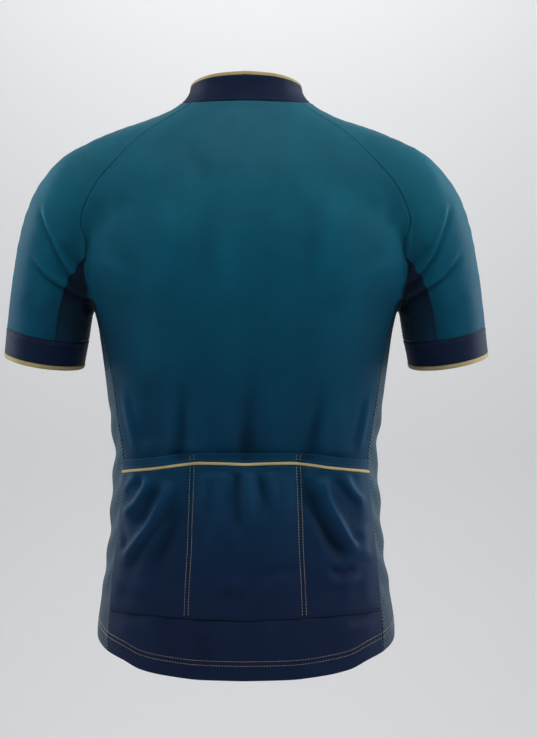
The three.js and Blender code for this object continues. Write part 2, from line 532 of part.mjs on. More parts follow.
function solid(pn, gaps) {
  const lines = pn.top.length, count = pn.top[0].length;
  const top = pn.top.map((l) => l.map((p) => [...p]));
  for (const { i, j, ways } of edges(pn)) {
    const gap = gaps.get(keyOf(pn.base[j][i])) ?? SEAM;
    for (const [dj, di] of ways) {
      const p = pn.top[j][i], q = pn.top[j + dj][i + di];
      // Straight away from the edge, in the panel.
      const e0 = dj ? pn.top[j][(i + 1) % count] : pn.top[Math.min(j + 1, lines - 1)][i];
      const e1 = dj ? pn.top[j][(i - 1 + count) % count] : pn.top[Math.max(j - 1, 0)][i];
      let edge = sub(e0, e1);
      if (!pn.closed && dj && i === 0) edge = sub(e0, p);
      if (!pn.closed && dj && i === count - 1) edge = sub(p, e1);
      edge = unit(edge);
      let way = sub(q, p);
      way = unit(add(way, edge, -dot(way, edge)));
      top[j][i] = add(top[j][i], way, gap);
    }
  }
  const pos = [], tri = [];
  const put = (p) => { pos.push(...p); return pos.length / 3 - 1; };
  const a = top.map((l) => l.map(put));
  const b = top.map((l, j) => l.map((p, i) => put(add(p, pn.normal[j][i], -pn.wall))));
  const face = (p, q, r, s) => { tri.push([p, q, r], [p, r, s]); };
  const wrap = pn.closed ? count : count - 1;
  for (let j = 0; j < lines - 1; j += 1) {
    for (let i = 0; i < wrap; i += 1) {
      const k = (i + 1) % count;
      face(a[j][i], a[j + 1][i], a[j + 1][k], a[j][k]);
      face(b[j][i], b[j][k], b[j + 1][k], b[j + 1][i]);
    }
  }
  for (let i = 0; i < wrap; i += 1) {
    const k = (i + 1) % count, l = lines - 1;
    face(a[0][i], a[0][k], b[0][k], b[0][i]);
    face(a[l][i], b[l][i], b[l][k], a[l][k]);
  }
  if (!pn.closed) {
    for (let j = 0; j < lines - 1; j += 1) {
      const l = count - 1;
      face(a[j][0], b[j][0], b[j + 1][0], a[j + 1][0]);
      face(a[j][l], a[j + 1][l], b[j + 1][l], b[j][l]);
    }
  }
  const geometry = new THREE.BufferGeometry();
  geometry.setAttribute('position', new THREE.Float32BufferAttribute(pos, 3));
  geometry.setIndex((pn.flip ? tri.map(([p, q, r]) => [p, r, q]) : tri).flat());
  geometry.computeVertexNormals();
  return geometry;
}

// ---------------------------------------------------------------- finishes
const finish = (color, roughness, metalness = 0) => new THREE.MeshStandardMaterial({ color, roughness, metalness });
const TEAL = () => finish(0x174f61, 0.62);
const MESH = () => finish(0x3c6276, 0.7);
const NAVY = () => finish(0x16183a, 0.66);
const DEEP = () => finish(0x1b2a4e, 0.62);
const GOLD = () => finish(0xb7a56c, 0.5);
const METAL = () => finish(0x2a2c33, 0.35, 0.8);

// ---------------------------------------------------------------- the panels
const bothSides = (name, make, base, options = {}) => {
  panel(`${name}_left`, make(), base, options);
  panel(`${name}_right`, make(), base.map((l) => l.map(mirror)), { ...options, flip: !options.flip });
};
panel('back', TEAL(), backGrid(0, ROW_HEM));
panel('back_hem', DEEP(), backGrid(ROW_HEM, ROW_END));
const onBack = (from) => (i, j) => CLOTH + LAYER + pocketFull(i, j + from);
panel('pocket_band', DEEP(), backGrid(ROW_BAND, ROW_TRIM), { lift: onBack(ROW_BAND) });
panel('pocket_piping', GOLD(), backGrid(ROW_TRIM, ROW_POCKET), { lift: onBack(ROW_TRIM) });
panel('pocket_panel', DEEP(), backGrid(ROW_POCKET, ROW_HEM), { lift: onBack(ROW_POCKET) });
bothSides('front', TEAL, frontGrid);
bothSides('side', MESH, sideGrid, { flip: true });
bothSides('sleeve', TEAL, sleeveGrid, { flip: true });
bothSides('sleeve_under', MESH, underGrid);
bothSides('cuff', NAVY, cuffRows([CUFF_TOP, CUFF_TRIM]), { wall: RIB_WALL, closed: true, flip: true });
bothSides('cuff_edge', GOLD, cuffRows([CUFF_TRIM, CUFF_END]), { wall: RIB_WALL, closed: true, flip: true });

const rimShare = 1 - EDGE_TOP / 34;
const collarRows = (list) => list.map((t) => neckLine.map((p) => collarAt(p, t)));
panel('collar', NAVY(), collarRows([0, 0.22, 0.55, rimShare]), { wall: COLLAR_WALL, out: collarOut, flip: true });
panel('collar_edge', GOLD(), collarRows([rimShare, 1]), { wall: COLLAR_WALL, out: collarOut, flip: true });

// Zip: one closed chain from the hem up the fronts and the collar.
const zipLine = [...frontMiddleZ].reverse().map((z) => zipPoint(z));
const collarFoot = frontGrid[0][0];
const zipSide = [...zipLine, ...[0.22, 0.55, ZIP_END].map((t) => collarAt(collarFoot, t))];
const zipOut = zipSide.map((p, i) => (i < zipLine.length ? unit([0, outward(p)[1], outward(p)[2]]) : unit([0, -1, 0.2])));
const zipBase = zipSide.map((p) => [[-ZIP_HALF, p[1], p[2]], [ZIP_HALF, p[1], p[2]]]);
panels.push({
  name: 'zip', finish: NAVY(), base: zipBase.map((l) => l.map((p) => add(p, [0, 0, 0]))),
  normal: zipOut.map((n) => [n, n]),
  top: zipBase.map((l, j) => l.map((p) => add(p, zipOut[j], ZIP_PROUD
    + (j < zipLine.length ? foldShift(p, outward(p)) : 0)))),
  wall: ZIP_WALL, closed: false, flip: true,
});

// Gap at each seam point, wider where two panels fold sharply on each other.
const ways = new Map();
for (const pn of panels) {
  for (const { i, j, ways: list } of edges(pn)) {
    const key = keyOf(pn.base[j][i]);
    const all = ways.get(key) ?? [];
    for (const [dj, di] of list) all.push({ name: pn.name, d: unit(sub(pn.base[j + dj][i + di], pn.base[j][i])) });
    ways.set(key, all);
  }
}
const gaps = new Map();
for (const [key, all] of ways) {
  let gap = SEAM;
  for (const a of all) {
    for (const b of all) {
      if (a.name >= b.name || /pocket/.test(a.name + b.name)) continue;
      const angle = Math.acos(clamp(dot(a.d, b.d), -1, 1)) / 2;
      if (angle > 5 * rad) gap = Math.max(gap, SEAM / Math.sin(angle));
    }
  }
  gaps.set(key, Math.min(gap, 0.9));
}

const jersey = new THREE.Group();
for (const pn of panels) {
  const mesh = new THREE.Mesh(solid(pn, gaps), pn.finish);
  mesh.name = pn.name;
  jersey.add(mesh);
}

// ---------------------------------------------------------------- slider and pull tab
// Both are drawn in the zip's own plane: x across, y out of the cloth, z up the zip.
const wasm = await Module();
wasm.setup();
function toSolid(geometry) {
  const g = geometry.clone();
  g.deleteAttribute('normal');
  g.deleteAttribute('uv');
  const m = mergeVertices(g, 1e-4);
  return new wasm.Manifold(new wasm.Mesh({
    numProp: 3,
    vertProperties: new Float32Array(m.attributes.position.array),
    triVerts: new Uint32Array(m.index.array),
  }));
}
function toGeometry(body) {
  const m = body.getMesh(), g = new THREE.BufferGeometry();
  g.setAttribute('position', new THREE.Float32BufferAttribute(Array.from(m.vertProperties), 3));
  g.setIndex(Array.from(m.triVerts));
  g.computeVertexNormals();
  return g;
}
const block = (x0, x1, y0, y1, z0, z1) => {
  const g = new THREE.BoxGeometry(x1 - x0, y1 - y0, z1 - z0);
  g.translate((x0 + x1) / 2, (y0 + y1) / 2, (z0 + z1) / 2);
  return g;
};
function plate(outline, thick, hole) {
  const shape = new THREE.Shape(outline.map(([x, z]) => new THREE.Vector2(x, z)));
  if (hole) shape.holes.push(new THREE.Path(hole.map(([x, z]) => new THREE.Vector2(x, z))));
  const g = new THREE.ExtrudeGeometry(shape, { depth: thick, bevelEnabled: false });
  g.rotateX(Math.PI / 2);                            // shape's y becomes z, thickness runs along -y
  g.translate(0, thick, 0);
  return g;
}

const SLIDER = { half: 4.3, foot: -5.6, head: 5.2, plate: 1.0, over: ZIP_PROUD + 0.35, underside: COLLAR_WALL + 0.4 };
const BAIL = { half: 1.1, low: -3.3, high: 3.0, bar: 1.0, rise: 3.3 };
const TAB = { half: 3.2, window: 1.75, bar: 1.2, thick: 1.3, length: 21, foot: 2.5 };
const HINGE = { y: SLIDER.over + SLIDER.plate + 1.25, z: BAIL.low + BAIL.bar + 0.35 + TAB.bar / 2 };

const sliderOutline = [[-4.3, -3.6], [-3.4, -5.6], [3.4, -5.6], [4.3, -3.6], [4.3, 2.6], [2.6, 5.2], [-2.6, 5.2], [-4.3, 2.6]];
const topPlate = plate(sliderOutline, SLIDER.plate).translate(0, SLIDER.over, 0);
const lowPlate = plate(sliderOutline, SLIDER.plate).translate(0, -SLIDER.underside - SLIDER.plate, 0);
const wedge = plate([[-1.4, 2.0], [0, 0.9], [1.4, 2.0], [1.4, 3.4], [0, 4.8], [-1.4, 3.4]],
  SLIDER.over + SLIDER.underside + 1).translate(0, -SLIDER.underside - 0.5, 0);
const plateTop = SLIDER.over + SLIDER.plate;
const bailOuter = block(-BAIL.half, BAIL.half, plateTop - 0.4, plateTop + BAIL.rise, BAIL.low, BAIL.high);
const bailInner = block(-BAIL.half - 1, BAIL.half + 1, plateTop, plateTop + BAIL.rise - BAIL.bar, BAIL.low + BAIL.bar, BAIL.high - BAIL.bar);
const sliderSolid = toSolid(topPlate).add(toSolid(lowPlate)).add(toSolid(wedge))
  .add(toSolid(bailOuter).subtract(toSolid(bailInner)));

const tabOutline = [
  [-TAB.half + 0.8, TAB.bar / 2], [-TAB.half, TAB.bar / 2 - 0.8], [-TAB.half, -6.6], [-TAB.foot, -9],
  [-TAB.foot - 0.2, -TAB.length + 2], [-TAB.foot + 1, -TAB.length], [TAB.foot - 1, -TAB.length],
  [TAB.foot + 0.2, -TAB.length + 2], [TAB.foot, -9], [TAB.half, -6.6], [TAB.half, TAB.bar / 2 - 0.8], [TAB.half - 0.8, TAB.bar / 2],
];
const tabWindow = [[-TAB.window, -TAB.bar / 2], [TAB.window, -TAB.bar / 2], [TAB.window, -5.6], [-TAB.window, -5.6]];
const tab = plate(tabOutline, TAB.thick, tabWindow).translate(0, -TAB.thick / 2, 0);

// The zip's plane on the front of the collar, at the slider.
const sliderFoot = collarAt(collarFoot, 0.47), sliderHead = collarAt(collarFoot, ZIP_END);
const up = unit(sub(sliderHead, sliderFoot).map((v, k) => (k === 0 ? 0 : v)));
const away = unit([0, -up[2], up[1]]);
const seat = add([0, sliderHead[1], sliderHead[2]], up, -0.3);
const pose = new THREE.Matrix4().makeBasis(
  new THREE.Vector3(-1, 0, 0), new THREE.Vector3(...away), new THREE.Vector3(...up),
).setPosition(...seat);

const slider = new THREE.Mesh(toGeometry(sliderSolid), METAL());
slider.name = 'zip_slider';
slider.applyMatrix4(pose);
jersey.add(slider);

const pull = new THREE.Mesh(mergeVertices((() => { tab.deleteAttribute('normal'); tab.deleteAttribute('uv'); return tab; })(), 1e-4), METAL());
pull.name = 'zip_pull';
pull.geometry.computeVertexNormals();
pull.applyMatrix4(new THREE.Matrix4().makeTranslation(0, HINGE.y, HINGE.z).premultiply(pose));
jersey.add(pull);

export default jersey;
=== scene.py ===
import math
import bpy
import numpy as np
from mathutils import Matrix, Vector


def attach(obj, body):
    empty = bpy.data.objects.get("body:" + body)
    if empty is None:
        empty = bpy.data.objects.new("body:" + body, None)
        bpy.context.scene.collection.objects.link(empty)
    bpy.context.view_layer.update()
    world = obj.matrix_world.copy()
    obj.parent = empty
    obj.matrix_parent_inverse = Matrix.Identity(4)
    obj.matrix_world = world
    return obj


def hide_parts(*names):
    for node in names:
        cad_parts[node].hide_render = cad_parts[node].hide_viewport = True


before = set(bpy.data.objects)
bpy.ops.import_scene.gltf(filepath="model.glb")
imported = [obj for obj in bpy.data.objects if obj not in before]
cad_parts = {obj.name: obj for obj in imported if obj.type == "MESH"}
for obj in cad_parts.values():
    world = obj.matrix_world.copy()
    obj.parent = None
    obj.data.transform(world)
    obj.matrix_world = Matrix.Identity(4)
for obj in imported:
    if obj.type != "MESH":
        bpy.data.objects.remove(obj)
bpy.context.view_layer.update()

# Short-sleeved cycling jersey, worn shape. Millimetres until a mesh is made, then metres.
# +Z is up, +Y is the wearer's back, +X is the wearer's left.

# ---------------------------------------------------------------- driving sizes
WALL = 0.9             # cloth
COLLAR_WALL = 2.2
RIB_WALL = 1.4
LAYER = 1.7            # a sewn-on layer's least distance from the back's outside
SEAM = 0.06            # each panel stops this far from the seam line
EDGE_TOP = 3.0         # piping on the collar
COLLAR_FLARE = 2.4
ZIP_HALF = 3.15
ZIP_END = 0.83
POCKET_FULL = 8.5
POCKET_MOUTH = 0.72
CUFF_TOP, CUFF_TRIM, CUFF_END = 8.14, 8.78, 8.885
CORNER_Z = -224.0
STEP = 3.1             # spacing of the finest grids

# Body sections: half width, depth behind and before the middle, corner power.
TORSO = [  # z, half, back, front, power
    (30, 40, 36, 40, 2), (0, 68, 62, 62, 2), (-12, 78, 67, 60, 2), (-24, 91, 73, 62, 2.05),
    (-48, 124, 84, 71, 2.15), (-80, 157, 97, 92, 2.25), (-120, 182, 107, 109, 2.35),
    (-160, 194, 113, 119, 2.4), (-190, 195, 114, 123, 2.4), (-206, 191.5, 114, 123, 2.4),
    (-224, 186, 113, 123, 2.4), (-240, 177.5, 111, 123, 2.4), (-311, 165, 100, 117, 2.35),
    (-370, 158, 91, 110, 2.3), (-412, 153, 87, 106, 2.3), (-450, 156, 90, 104, 2.3),
    (-500, 159, 98, 105, 2.3), (-560, 166, 107, 107, 2.3), (-620, 173, 112, 110, 2.3),
    (-700, 173, 113, 112, 2.3)
]
# Sleeve sections, left side: middle, half width across and front to back,
# and the slope of the section's plane outwards and forwards, in degrees.
SLEEVE = [  # x, y, z, across, depth, tilt, lean
    (30, 2, -52, 32, 38, 104, 0), (62, 2, -62, 40, 46, 92, 0), (100, 3, -76, 49, 54, 80, 0),
    (136, 3, -88, 53, 60, 70, 0), (168, 3, -104, 58, 64, 57, 0), (192, 1, -126, 58, 65, 41, 1),
    (211, -3, -162, 54, 63, 23, 3), (224, -10, -210, 50, 61, 13, 6),
    (232, -18, -262, 49, 59, 10, 8), (238.5, -25, -306, 47, 57, 9, 9),
    (243, -31, -345, 47, 57, 9, 9)
]
# Height of the neck seam round the neck. 90 is the middle of the back.
NECK = [  # angle, z
    (-90, -48), (-65, -37), (-48, -22), (-34, -11), (-20, -4), (0, -0.5), (29.5, -2.6), (60, -3),
    (90, -3)
]
# Armhole seam, as the angle round the body at each height.
RAGLAN_BACK = [  # z, angle
    (-2.6, 29.5), (-12, 24.8), (-26, 24), (-46, 24.5), (-66, 24.4), (-88, 23), (-112, 21.1),
    (-138, 19), (-163, 17.3), (-182, 15.3), (-206, 12.3), (-224, 9.3)
]
RAGLAN_FRONT = [  # z, angle
    (-22, -48), (-34, -38), (-48, -33.5), (-64, -30.5), (-84, -27.5), (-106, -25.2),
    (-130, -22.8), (-152, -20), (-170, -18.4), (-186, -17.4), (-206, -15.9), (-224, -14.2)
]
# Under the arm the seam lies in the crease between body and sleeve, at these angles
# between the back corner and the front corner of the armhole.
UNDERARM = [  # angle
    (9.3), (2.4), (-6), (-14.2)
]
# Side seams and the column line that runs down the pocket stitching.
SIDE_BACK = [  # z, angle
    (-224, 9.3), (-250, 10.8), (-283, 13.2), (-318, 15), (-384, 15.4), (-417, 16.2),
    (-440, 17.4), (-485, 17.6), (-522, 17.4), (-569, 18.3), (-600, 19.2), (-640, 19.4)
]
SIDE_FRONT = [  # z, angle
    (-224, -14.2), (-250, -14.6), (-283, -15.1), (-318, -15.8), (-384, -16.2), (-440, -17.4),
    (-522, -17.6), (-569, -18.2), (-640, -18.6)
]
DIVIDER = [  # z, angle
    (0, 66), (-60, 56), (-110, 50), (-200, 48), (-300, 50), (-380, 53), (-409, 53.7),
    (-460, 54.5), (-528, 56.8), (-593, 57.6), (-664, 60)
]
# The mesh panel under the sleeve: angle round the sleeve at each place along it.
UNDER = [  # place, angle
    (6.15, 119.5), (6.31, 116.9), (6.56, 112.6), (6.83, 108.2), (7.21, 105.4), (7.57, 104),
    (8.14, 104.4)
]
# Lines across the lower back, by angle.
BAND_TOP = [  # angle, z
    (0, -420), (16, -417), (34, -412.8), (47, -408.4), (58, -407), (90, -407.6)
]
TRIM_TOP = [  # angle, z
    (0, -431), (17, -428), (37, -423.2), (50, -418.4), (58, -416.8), (90, -418.2)
]
TRIM_END = [  # angle, z
    (0, -434.5), (17, -431.5), (37, -426.7), (50, -421.9), (58, -420.3), (90, -421.7)
]
POCKET_END = [  # angle, z
    (0, -588), (19, -588.8), (39, -590.4), (58, -593), (90, -595.4)
]
HEM = [  # angle, z
    (-90, -600), (-45, -601), (-18, -606), (0, -617), (19, -635.4), (28, -643.1), (37, -652.7),
    (50, -658.7), (65, -662.2), (90, -663.2)
]
RIM_HEIGHT = [  # angle, z
    (-90, -10), (-45, 4), (0, 18), (22, 22.5), (40, 26), (60, 29), (90, 30.8)
]

# ---------------------------------------------------------------- small maths
RAD = math.pi / 180


def smooth(a, b, x):
    t = np.clip((np.asarray(x, float) - a) / (b - a), 0, 1)
    return t * t * (3 - 2 * t)


def lerp(a, b, t):
    return a + (b - a) * t


def unit(v):
    return v / np.maximum(np.linalg.norm(v, axis=-1, keepdims=True), 1e-12)


def curve(table, a, b):
    """A smooth curve through two columns of a table that never overshoots it."""
    t = np.array(table, float)
    t = t[np.argsort(t[:, a], kind="stable")]
    x, y = t[:, a], t[:, b]
    n = len(x)
    h = np.diff(x)
    d = np.diff(y) / h
    m = np.zeros(n)
    m[0], m[-1] = d[0], d[-1]
    for i in range(1, n - 1):
        if d[i - 1] * d[i] > 0:
            w1, w2 = 2 * h[i] + h[i - 1], h[i] + 2 * h[i - 1]
            m[i] = (w1 + w2) / (w1 / d[i - 1] + w2 / d[i])

    def at(v):
        q = np.clip(np.asarray(v, float), x[0], x[-1])
        i = np.clip(np.searchsorted(x, q, side="right") - 1, 0, n - 2)
        hh = h[i]
        u = (q - x[i]) / hh
        u2, u3 = u * u, u * u * u
        return ((2 * u3 - 3 * u2 + 1) * y[i] + (u3 - 2 * u2 + u) * hh * m[i]
                + (3 * u2 - 2 * u3) * y[i + 1] + (u3 - u2) * hh * m[i + 1])
    return at


def rail(points, s):
    """Smooth line through a list of rows, by row number."""
    p = np.array(points, float)
    last = len(p) - 1
    s = np.asarray(s, float)
    i = np.clip(np.floor(s).astype(int), 0, last - 1)
    u = (s - i)[..., None]
    b, c = p[i], p[i + 1]
    a = np.where((i > 0)[..., None], p[np.maximum(i - 1, 0)], 2 * b - c)
    d = np.where((i < last - 1)[..., None], p[np.minimum(i + 2, last)], 2 * c - b)
    return 0.5 * (2 * b + (c - a) * u + (2 * a - 5 * b + 4 * c - d) * u * u + (3 * b - a - 3 * c + d) * u ** 3)


# ---------------------------------------------------------------- the garment's surface
half, back_depth = curve(TORSO, 0, 1), curve(TORSO, 0, 2)
front_depth, power = curve(TORSO, 0, 3), curve(TORSO, 0, 4)
TUBE = rail(SLEEVE, np.arange(3 * (len(SLEEVE) - 1) + 1) / 3)


def body_radius(c, s, z):
    a, b, n = half(z), np.where(s >= 0, back_depth(z), front_depth(z)), power(z)
    return (np.abs(c / a) ** n + np.abs(s / b) ** n) ** (-1 / n)


def body_field(p):
    r = np.hypot(p[..., 0], p[..., 1]) + 1e-9
    c, s, z = p[..., 0] / r, p[..., 1] / r, p[..., 2]
    r0 = body_radius(c, s, z)
    slope = (body_radius(c, s, z + 1) - body_radius(c, s, z - 1)) / 2
    return (r - r0) / np.sqrt(1 + slope * slope)


def sleeve_field(p):
    x, y, z = np.abs(p[..., 0]), p[..., 1], p[..., 2]
    best = np.full(x.shape, 1e9)
    for a, b in zip(TUBE[:-1], TUBE[1:]):
        dx, dy, dz = b[0] - a[0], b[1] - a[1], b[2] - a[2]
        px, py, pz = x - a[0], y - a[1], z - a[2]
        h = np.clip((px * dx + py * dy + pz * dz) / (dx * dx + dy * dy + dz * dz), 0, 1)
        ru, rv = lerp(a[3], b[3], h), lerp(a[4], b[4], h)
        qx, qy, qz = px - h * dx, py - h * dy, pz - h * dz
        w = qx * qx + qz * qz
        r = np.sqrt(w + qy * qy)
        q = np.sqrt(w / (ru * ru) + qy * qy / (rv * rv)) + 1e-9
        best = np.minimum(best, r - r / q)
    return best


def field(p):
    """Below nought inside. Body and sleeve run together softly on the shoulder and sharply under the arm."""
    a, b = body_field(p), sleeve_field(p)
    k = 7 + 43 * smooth(-190, -70, p[..., 2])
    h = np.clip(0.5 + 0.5 * (b - a) / k, 0, 1)
    return lerp(b, a, h) - k * h * (1 - h)


def slope_of(p, e=0.8):
    g = np.zeros(p.shape)
    for k in range(3):
        q = np.zeros(3)
        q[k] = e
        g[..., k] = field(p + q) - field(p - q)
    return g / (2 * e)


def settle(p, turns=3, cap=3.0):
    """Moves points straight onto the surface."""
    for _ in range(turns):
        g = slope_of(p)
        f = field(p)
        step = np.clip(f / np.maximum((g * g).sum(-1), 0.2), -cap, cap)
        p = p - step[..., None] * g
    return p


def meet(o, d, start, stop=330.0, turns=26):
    """First point of the surface along a ray that starts inside."""
    r = np.broadcast_to(np.asarray(start, float), d.shape[:-1]).copy()
    for _ in range(turns):
        f = field(o + d * r[..., None])
        r = np.minimum(r - 0.72 * f, stop)
    return o + d * r[..., None]


def body_point(angle, z):
    angle, z = np.broadcast_arrays(np.asarray(angle, float), np.asarray(z, float))
    c, s = np.cos(angle * RAD), np.sin(angle * RAD)
    o = np.stack([0 * z, 0 * z, z], -1)
    d = np.stack([c, s, 0 * z], -1)
    return meet(o, d, body_radius(c, s, z) - 3)


def zip_point(z):
    z = np.asarray(z, float)
    o = np.stack([np.full(z.shape, ZIP_HALF), 0 * z, z], -1)
    d = np.zeros(o.shape)
    d[..., 1] = -1
    return meet(o, d, front_depth(z) - 6)


def sleeve_frame(s):
    r = rail(SLEEVE, s)
    a, l = r[..., 5] * RAD, r[..., 6] * RAD
    u = np.stack([np.cos(a), 0 * a, np.sin(a)], -1)
    along = np.stack([np.sin(a) * np.cos(l), -np.sin(l), -np.cos(a) * np.cos(l)], -1)
    return r[..., :3], u, along, np.cross(u, along)


def sleeve_point(angle, s, reach=None):
    angle, s = np.broadcast_arrays(np.asarray(angle, float), np.asarray(s, float))
    o, u, _, v = sleeve_frame(s)
    d = unit(u * np.cos(angle * RAD)[..., None] + v * np.sin(angle * RAD)[..., None])
    if reach is not None:
        return settle(o + d * np.asarray(reach, float)[..., None], 4, 2.0)
    return meet(o, d, 15.0, 160.0, 34)


def on_sleeve(p):
    """Angle round the sleeve, place along it and distance from its middle."""
    p = np.asarray(p, float)
    places = np.arange(0, len(SLEEVE) - 1.0, 0.01)
    c, _, along, _ = sleeve_frame(places)
    off = (p[:, None, :] * along[None]).sum(-1) - (c * along).sum(-1)[None]
    turn = (off[:, :-1] >= 0) & (off[:, 1:] < 0)
    i = np.argmax(turn, 1)
    k = np.arange(len(p))
    t = off[k, i] / (off[k, i] - off[k, i + 1])
    s = places[i] + 0.01 * t
    o, u, _, v = sleeve_frame(s)
    q = p - o
    x, y = (q * u).sum(-1), (q * v).sum(-1)
    return np.stack([np.arctan2(y, x) / RAD, s, np.hypot(x, y)], -1)


# ---------------------------------------------------------------- seam lines
neck_z, rim_z = curve(NECK, 0, 1), curve(RIM_HEIGHT, 0, 1)
raglan_back, raglan_front = curve(RAGLAN_BACK, 0, 1), curve(RAGLAN_FRONT, 0, 1)
side_back, side_front = curve(SIDE_BACK, 0, 1), curve(SIDE_FRONT, 0, 1)
divider, under = curve(DIVIDER, 0, 1), curve(UNDER, 0, 1)
band_top, trim_top, trim_end = curve(BAND_TOP, 0, 1), curve(TRIM_TOP, 0, 1), curve(TRIM_END, 0, 1)
pocket_end, hem = curve(POCKET_END, 0, 1), curve(HEM, 0, 1)
SIDE_ROWS = [-250, -283, -318, -352, -384]
FRONT_MIDDLE = [-48, -57, -68, -82, -99, -118, -138, -157, -175, -192, -208, -224]
POCKET_ROWS, HEM_ROWS = 7, 3
raglan_z = [r[0] for r in RAGLAN_BACK]
ROW_CORNER = len(RAGLAN_BACK) - 1
ROW_BAND = ROW_CORNER + len(SIDE_ROWS) + 1
ROW_TRIM, ROW_POCKET = ROW_BAND + 1, ROW_BAND + 2
ROW_HEM = ROW_POCKET + POCKET_ROWS
ROW_END = ROW_HEM + HEM_ROWS
GUSSET = 9

back_lines = [neck_z] + [(lambda t, z=z: z + 0 * np.asarray(t, float)) for z in raglan_z[1:] + SIDE_ROWS]
back_lines += [band_top, trim_top, trim_end]
back_lines += [(lambda t, k=k: lerp(trim_end(t), pocket_end(t), k / POCKET_ROWS)) for k in range(1, POCKET_ROWS + 1)]
back_lines += [(lambda t, k=k: lerp(pocket_end(t), hem(t), k / HEM_ROWS)) for k in range(1, HEM_ROWS + 1)]


def line_height(j, angle):
    """Height of the back's line number j, whole or not, at an angle."""
    k = int(min(max(math.floor(j), 0), ROW_END - 1))
    return lerp(back_lines[k](angle), back_lines[k + 1](angle), j - k)


def back_edge(j):
    if j <= 0:
        return RAGLAN_BACK[0][1], RAGLAN_BACK[0][0]
    angle = 16.0
    for _ in range(16):
        z = float(line_height(j, angle))
        angle = float(raglan_back(z) if z > CORNER_Z else side_back(z))
    return angle, z


by_row = lambda values: curve([(k, v) for k, v in enumerate(values)], 0, 1)
front_rows = [r[0] for r in RAGLAN_FRONT] + SIDE_ROWS + [-412, -426, -433]
front_rows += [lerp(-433, float(hem(-18.5)), k / (POCKET_ROWS + HEM_ROWS)) for k in range(1, POCKET_ROWS + HEM_ROWS + 1)]
middle_rows = FRONT_MIDDLE + SIDE_ROWS + [-412, -426, -433]
middle_rows += [lerp(-433, float(hem(-90)), k / (POCKET_ROWS + HEM_ROWS)) for k in range(1, POCKET_ROWS + HEM_ROWS + 1)]
front_edge_z, front_middle_z = by_row(front_rows), by_row(middle_rows)


def front_edge_angle(j):
    z = front_edge_z(j)
    return np.where(z > CORNER_Z, raglan_front(z), side_front(z))


def parts(count, length, first=True, last=True):
    """Shares 0 to 1 along a length, closer together beside the seams at its ends."""
    t = np.linspace(0, 1, count + 1)
    more = np.array([0.28, 0.62, 1.05, 1.7]) / length
    keep = [v for v in t if (not first or v == 0 or v > more[-1] * 1.25) and (not last or v == 1 or v < 1 - more[-1] * 1.25)]
    if first:
        keep += list(more)
    if last:
        keep += list(1 - more)
    return np.array(sorted(keep))


# ---------------------------------------------------------------- panels, on the left side
def front_grid(rows, cols):
    js = ROW_END * rows
    top = zip_point(front_middle_z(js))
    a0 = np.arctan2(top[:, 1], top[:, 0]) / RAD
    a1 = front_edge_angle(js)
    a1[0] = RAGLAN_FRONT[0][1]
    angle = lerp(a0[:, None], a1[:, None], cols[None])
    n0 = a0[0]
    share = (neck_z(lerp(n0, RAGLAN_FRONT[0][1], cols)) - NECK[0][1]) / (RAGLAN_FRONT[0][0] - NECK[0][1])
    share = np.clip(share, 0, 1)
    zm, ze = front_middle_z(js)[:, None], front_edge_z(js)[:, None]
    z = lerp(zm, ze, share[None])
    last = lerp(middle_rows[-1], front_rows[-1], share)[None]
    low = smooth(ROW_POCKET, ROW_END, js)[:, None]
    z = z + low * (hem(angle) - last)
    return body_point(angle, z), js


def crease_line(angles):
    """Top of the crease under the arm at each angle round the body."""
    out = []
    for a in angles:
        c, s = math.cos(a * RAD), math.sin(a * RAD)
        r = np.arange(170, 192, 0.25)
        z = np.arange(-262, -209.9, 1.0)
        g = np.stack(np.broadcast_arrays((r * c)[:, None], (r * s)[:, None], z[None]), -1)
        inside = field(g) < 0
        first = np.where(inside.any(1), np.argmax(inside, 1), len(z) - 1)
        ok = ~inside[:, 0]
        lo, hi = z[np.maximum(first - 1, 0)].copy(), z[first].copy()
        for _ in range(14):
            m = (lo + hi) / 2
            f = field(np.stack([r * c, r * s, m], -1)) < 0
            hi = np.where(f, m, hi)
            lo = np.where(f, lo, m)
        lo = np.where(ok, lo, -1e9)
        k = int(np.argmax(lo))
        out.append([r[k] * c, r[k] * s, lo[k]])
    return np.array(out)


CORNER_BACK = body_point(RAGLAN_BACK[-1][1], CORNER_Z)
CORNER_FRONT = body_point(RAGLAN_FRONT[-1][1], CORNER_Z)
_steps = np.linspace(7.6, -12.6, 15)
UNDERARM_LINE = np.concatenate([[CORNER_BACK], crease_line(_steps), [CORNER_FRONT]])


def along_line(points, share):
    """Points at shares of the length of a line."""
    p = np.asarray(points, float)
    s = np.concatenate([[0], np.cumsum(np.linalg.norm(np.diff(p, axis=0), axis=1))])
    return rail(p, np.interp(np.asarray(share) * s[-1], s, np.arange(len(p))))


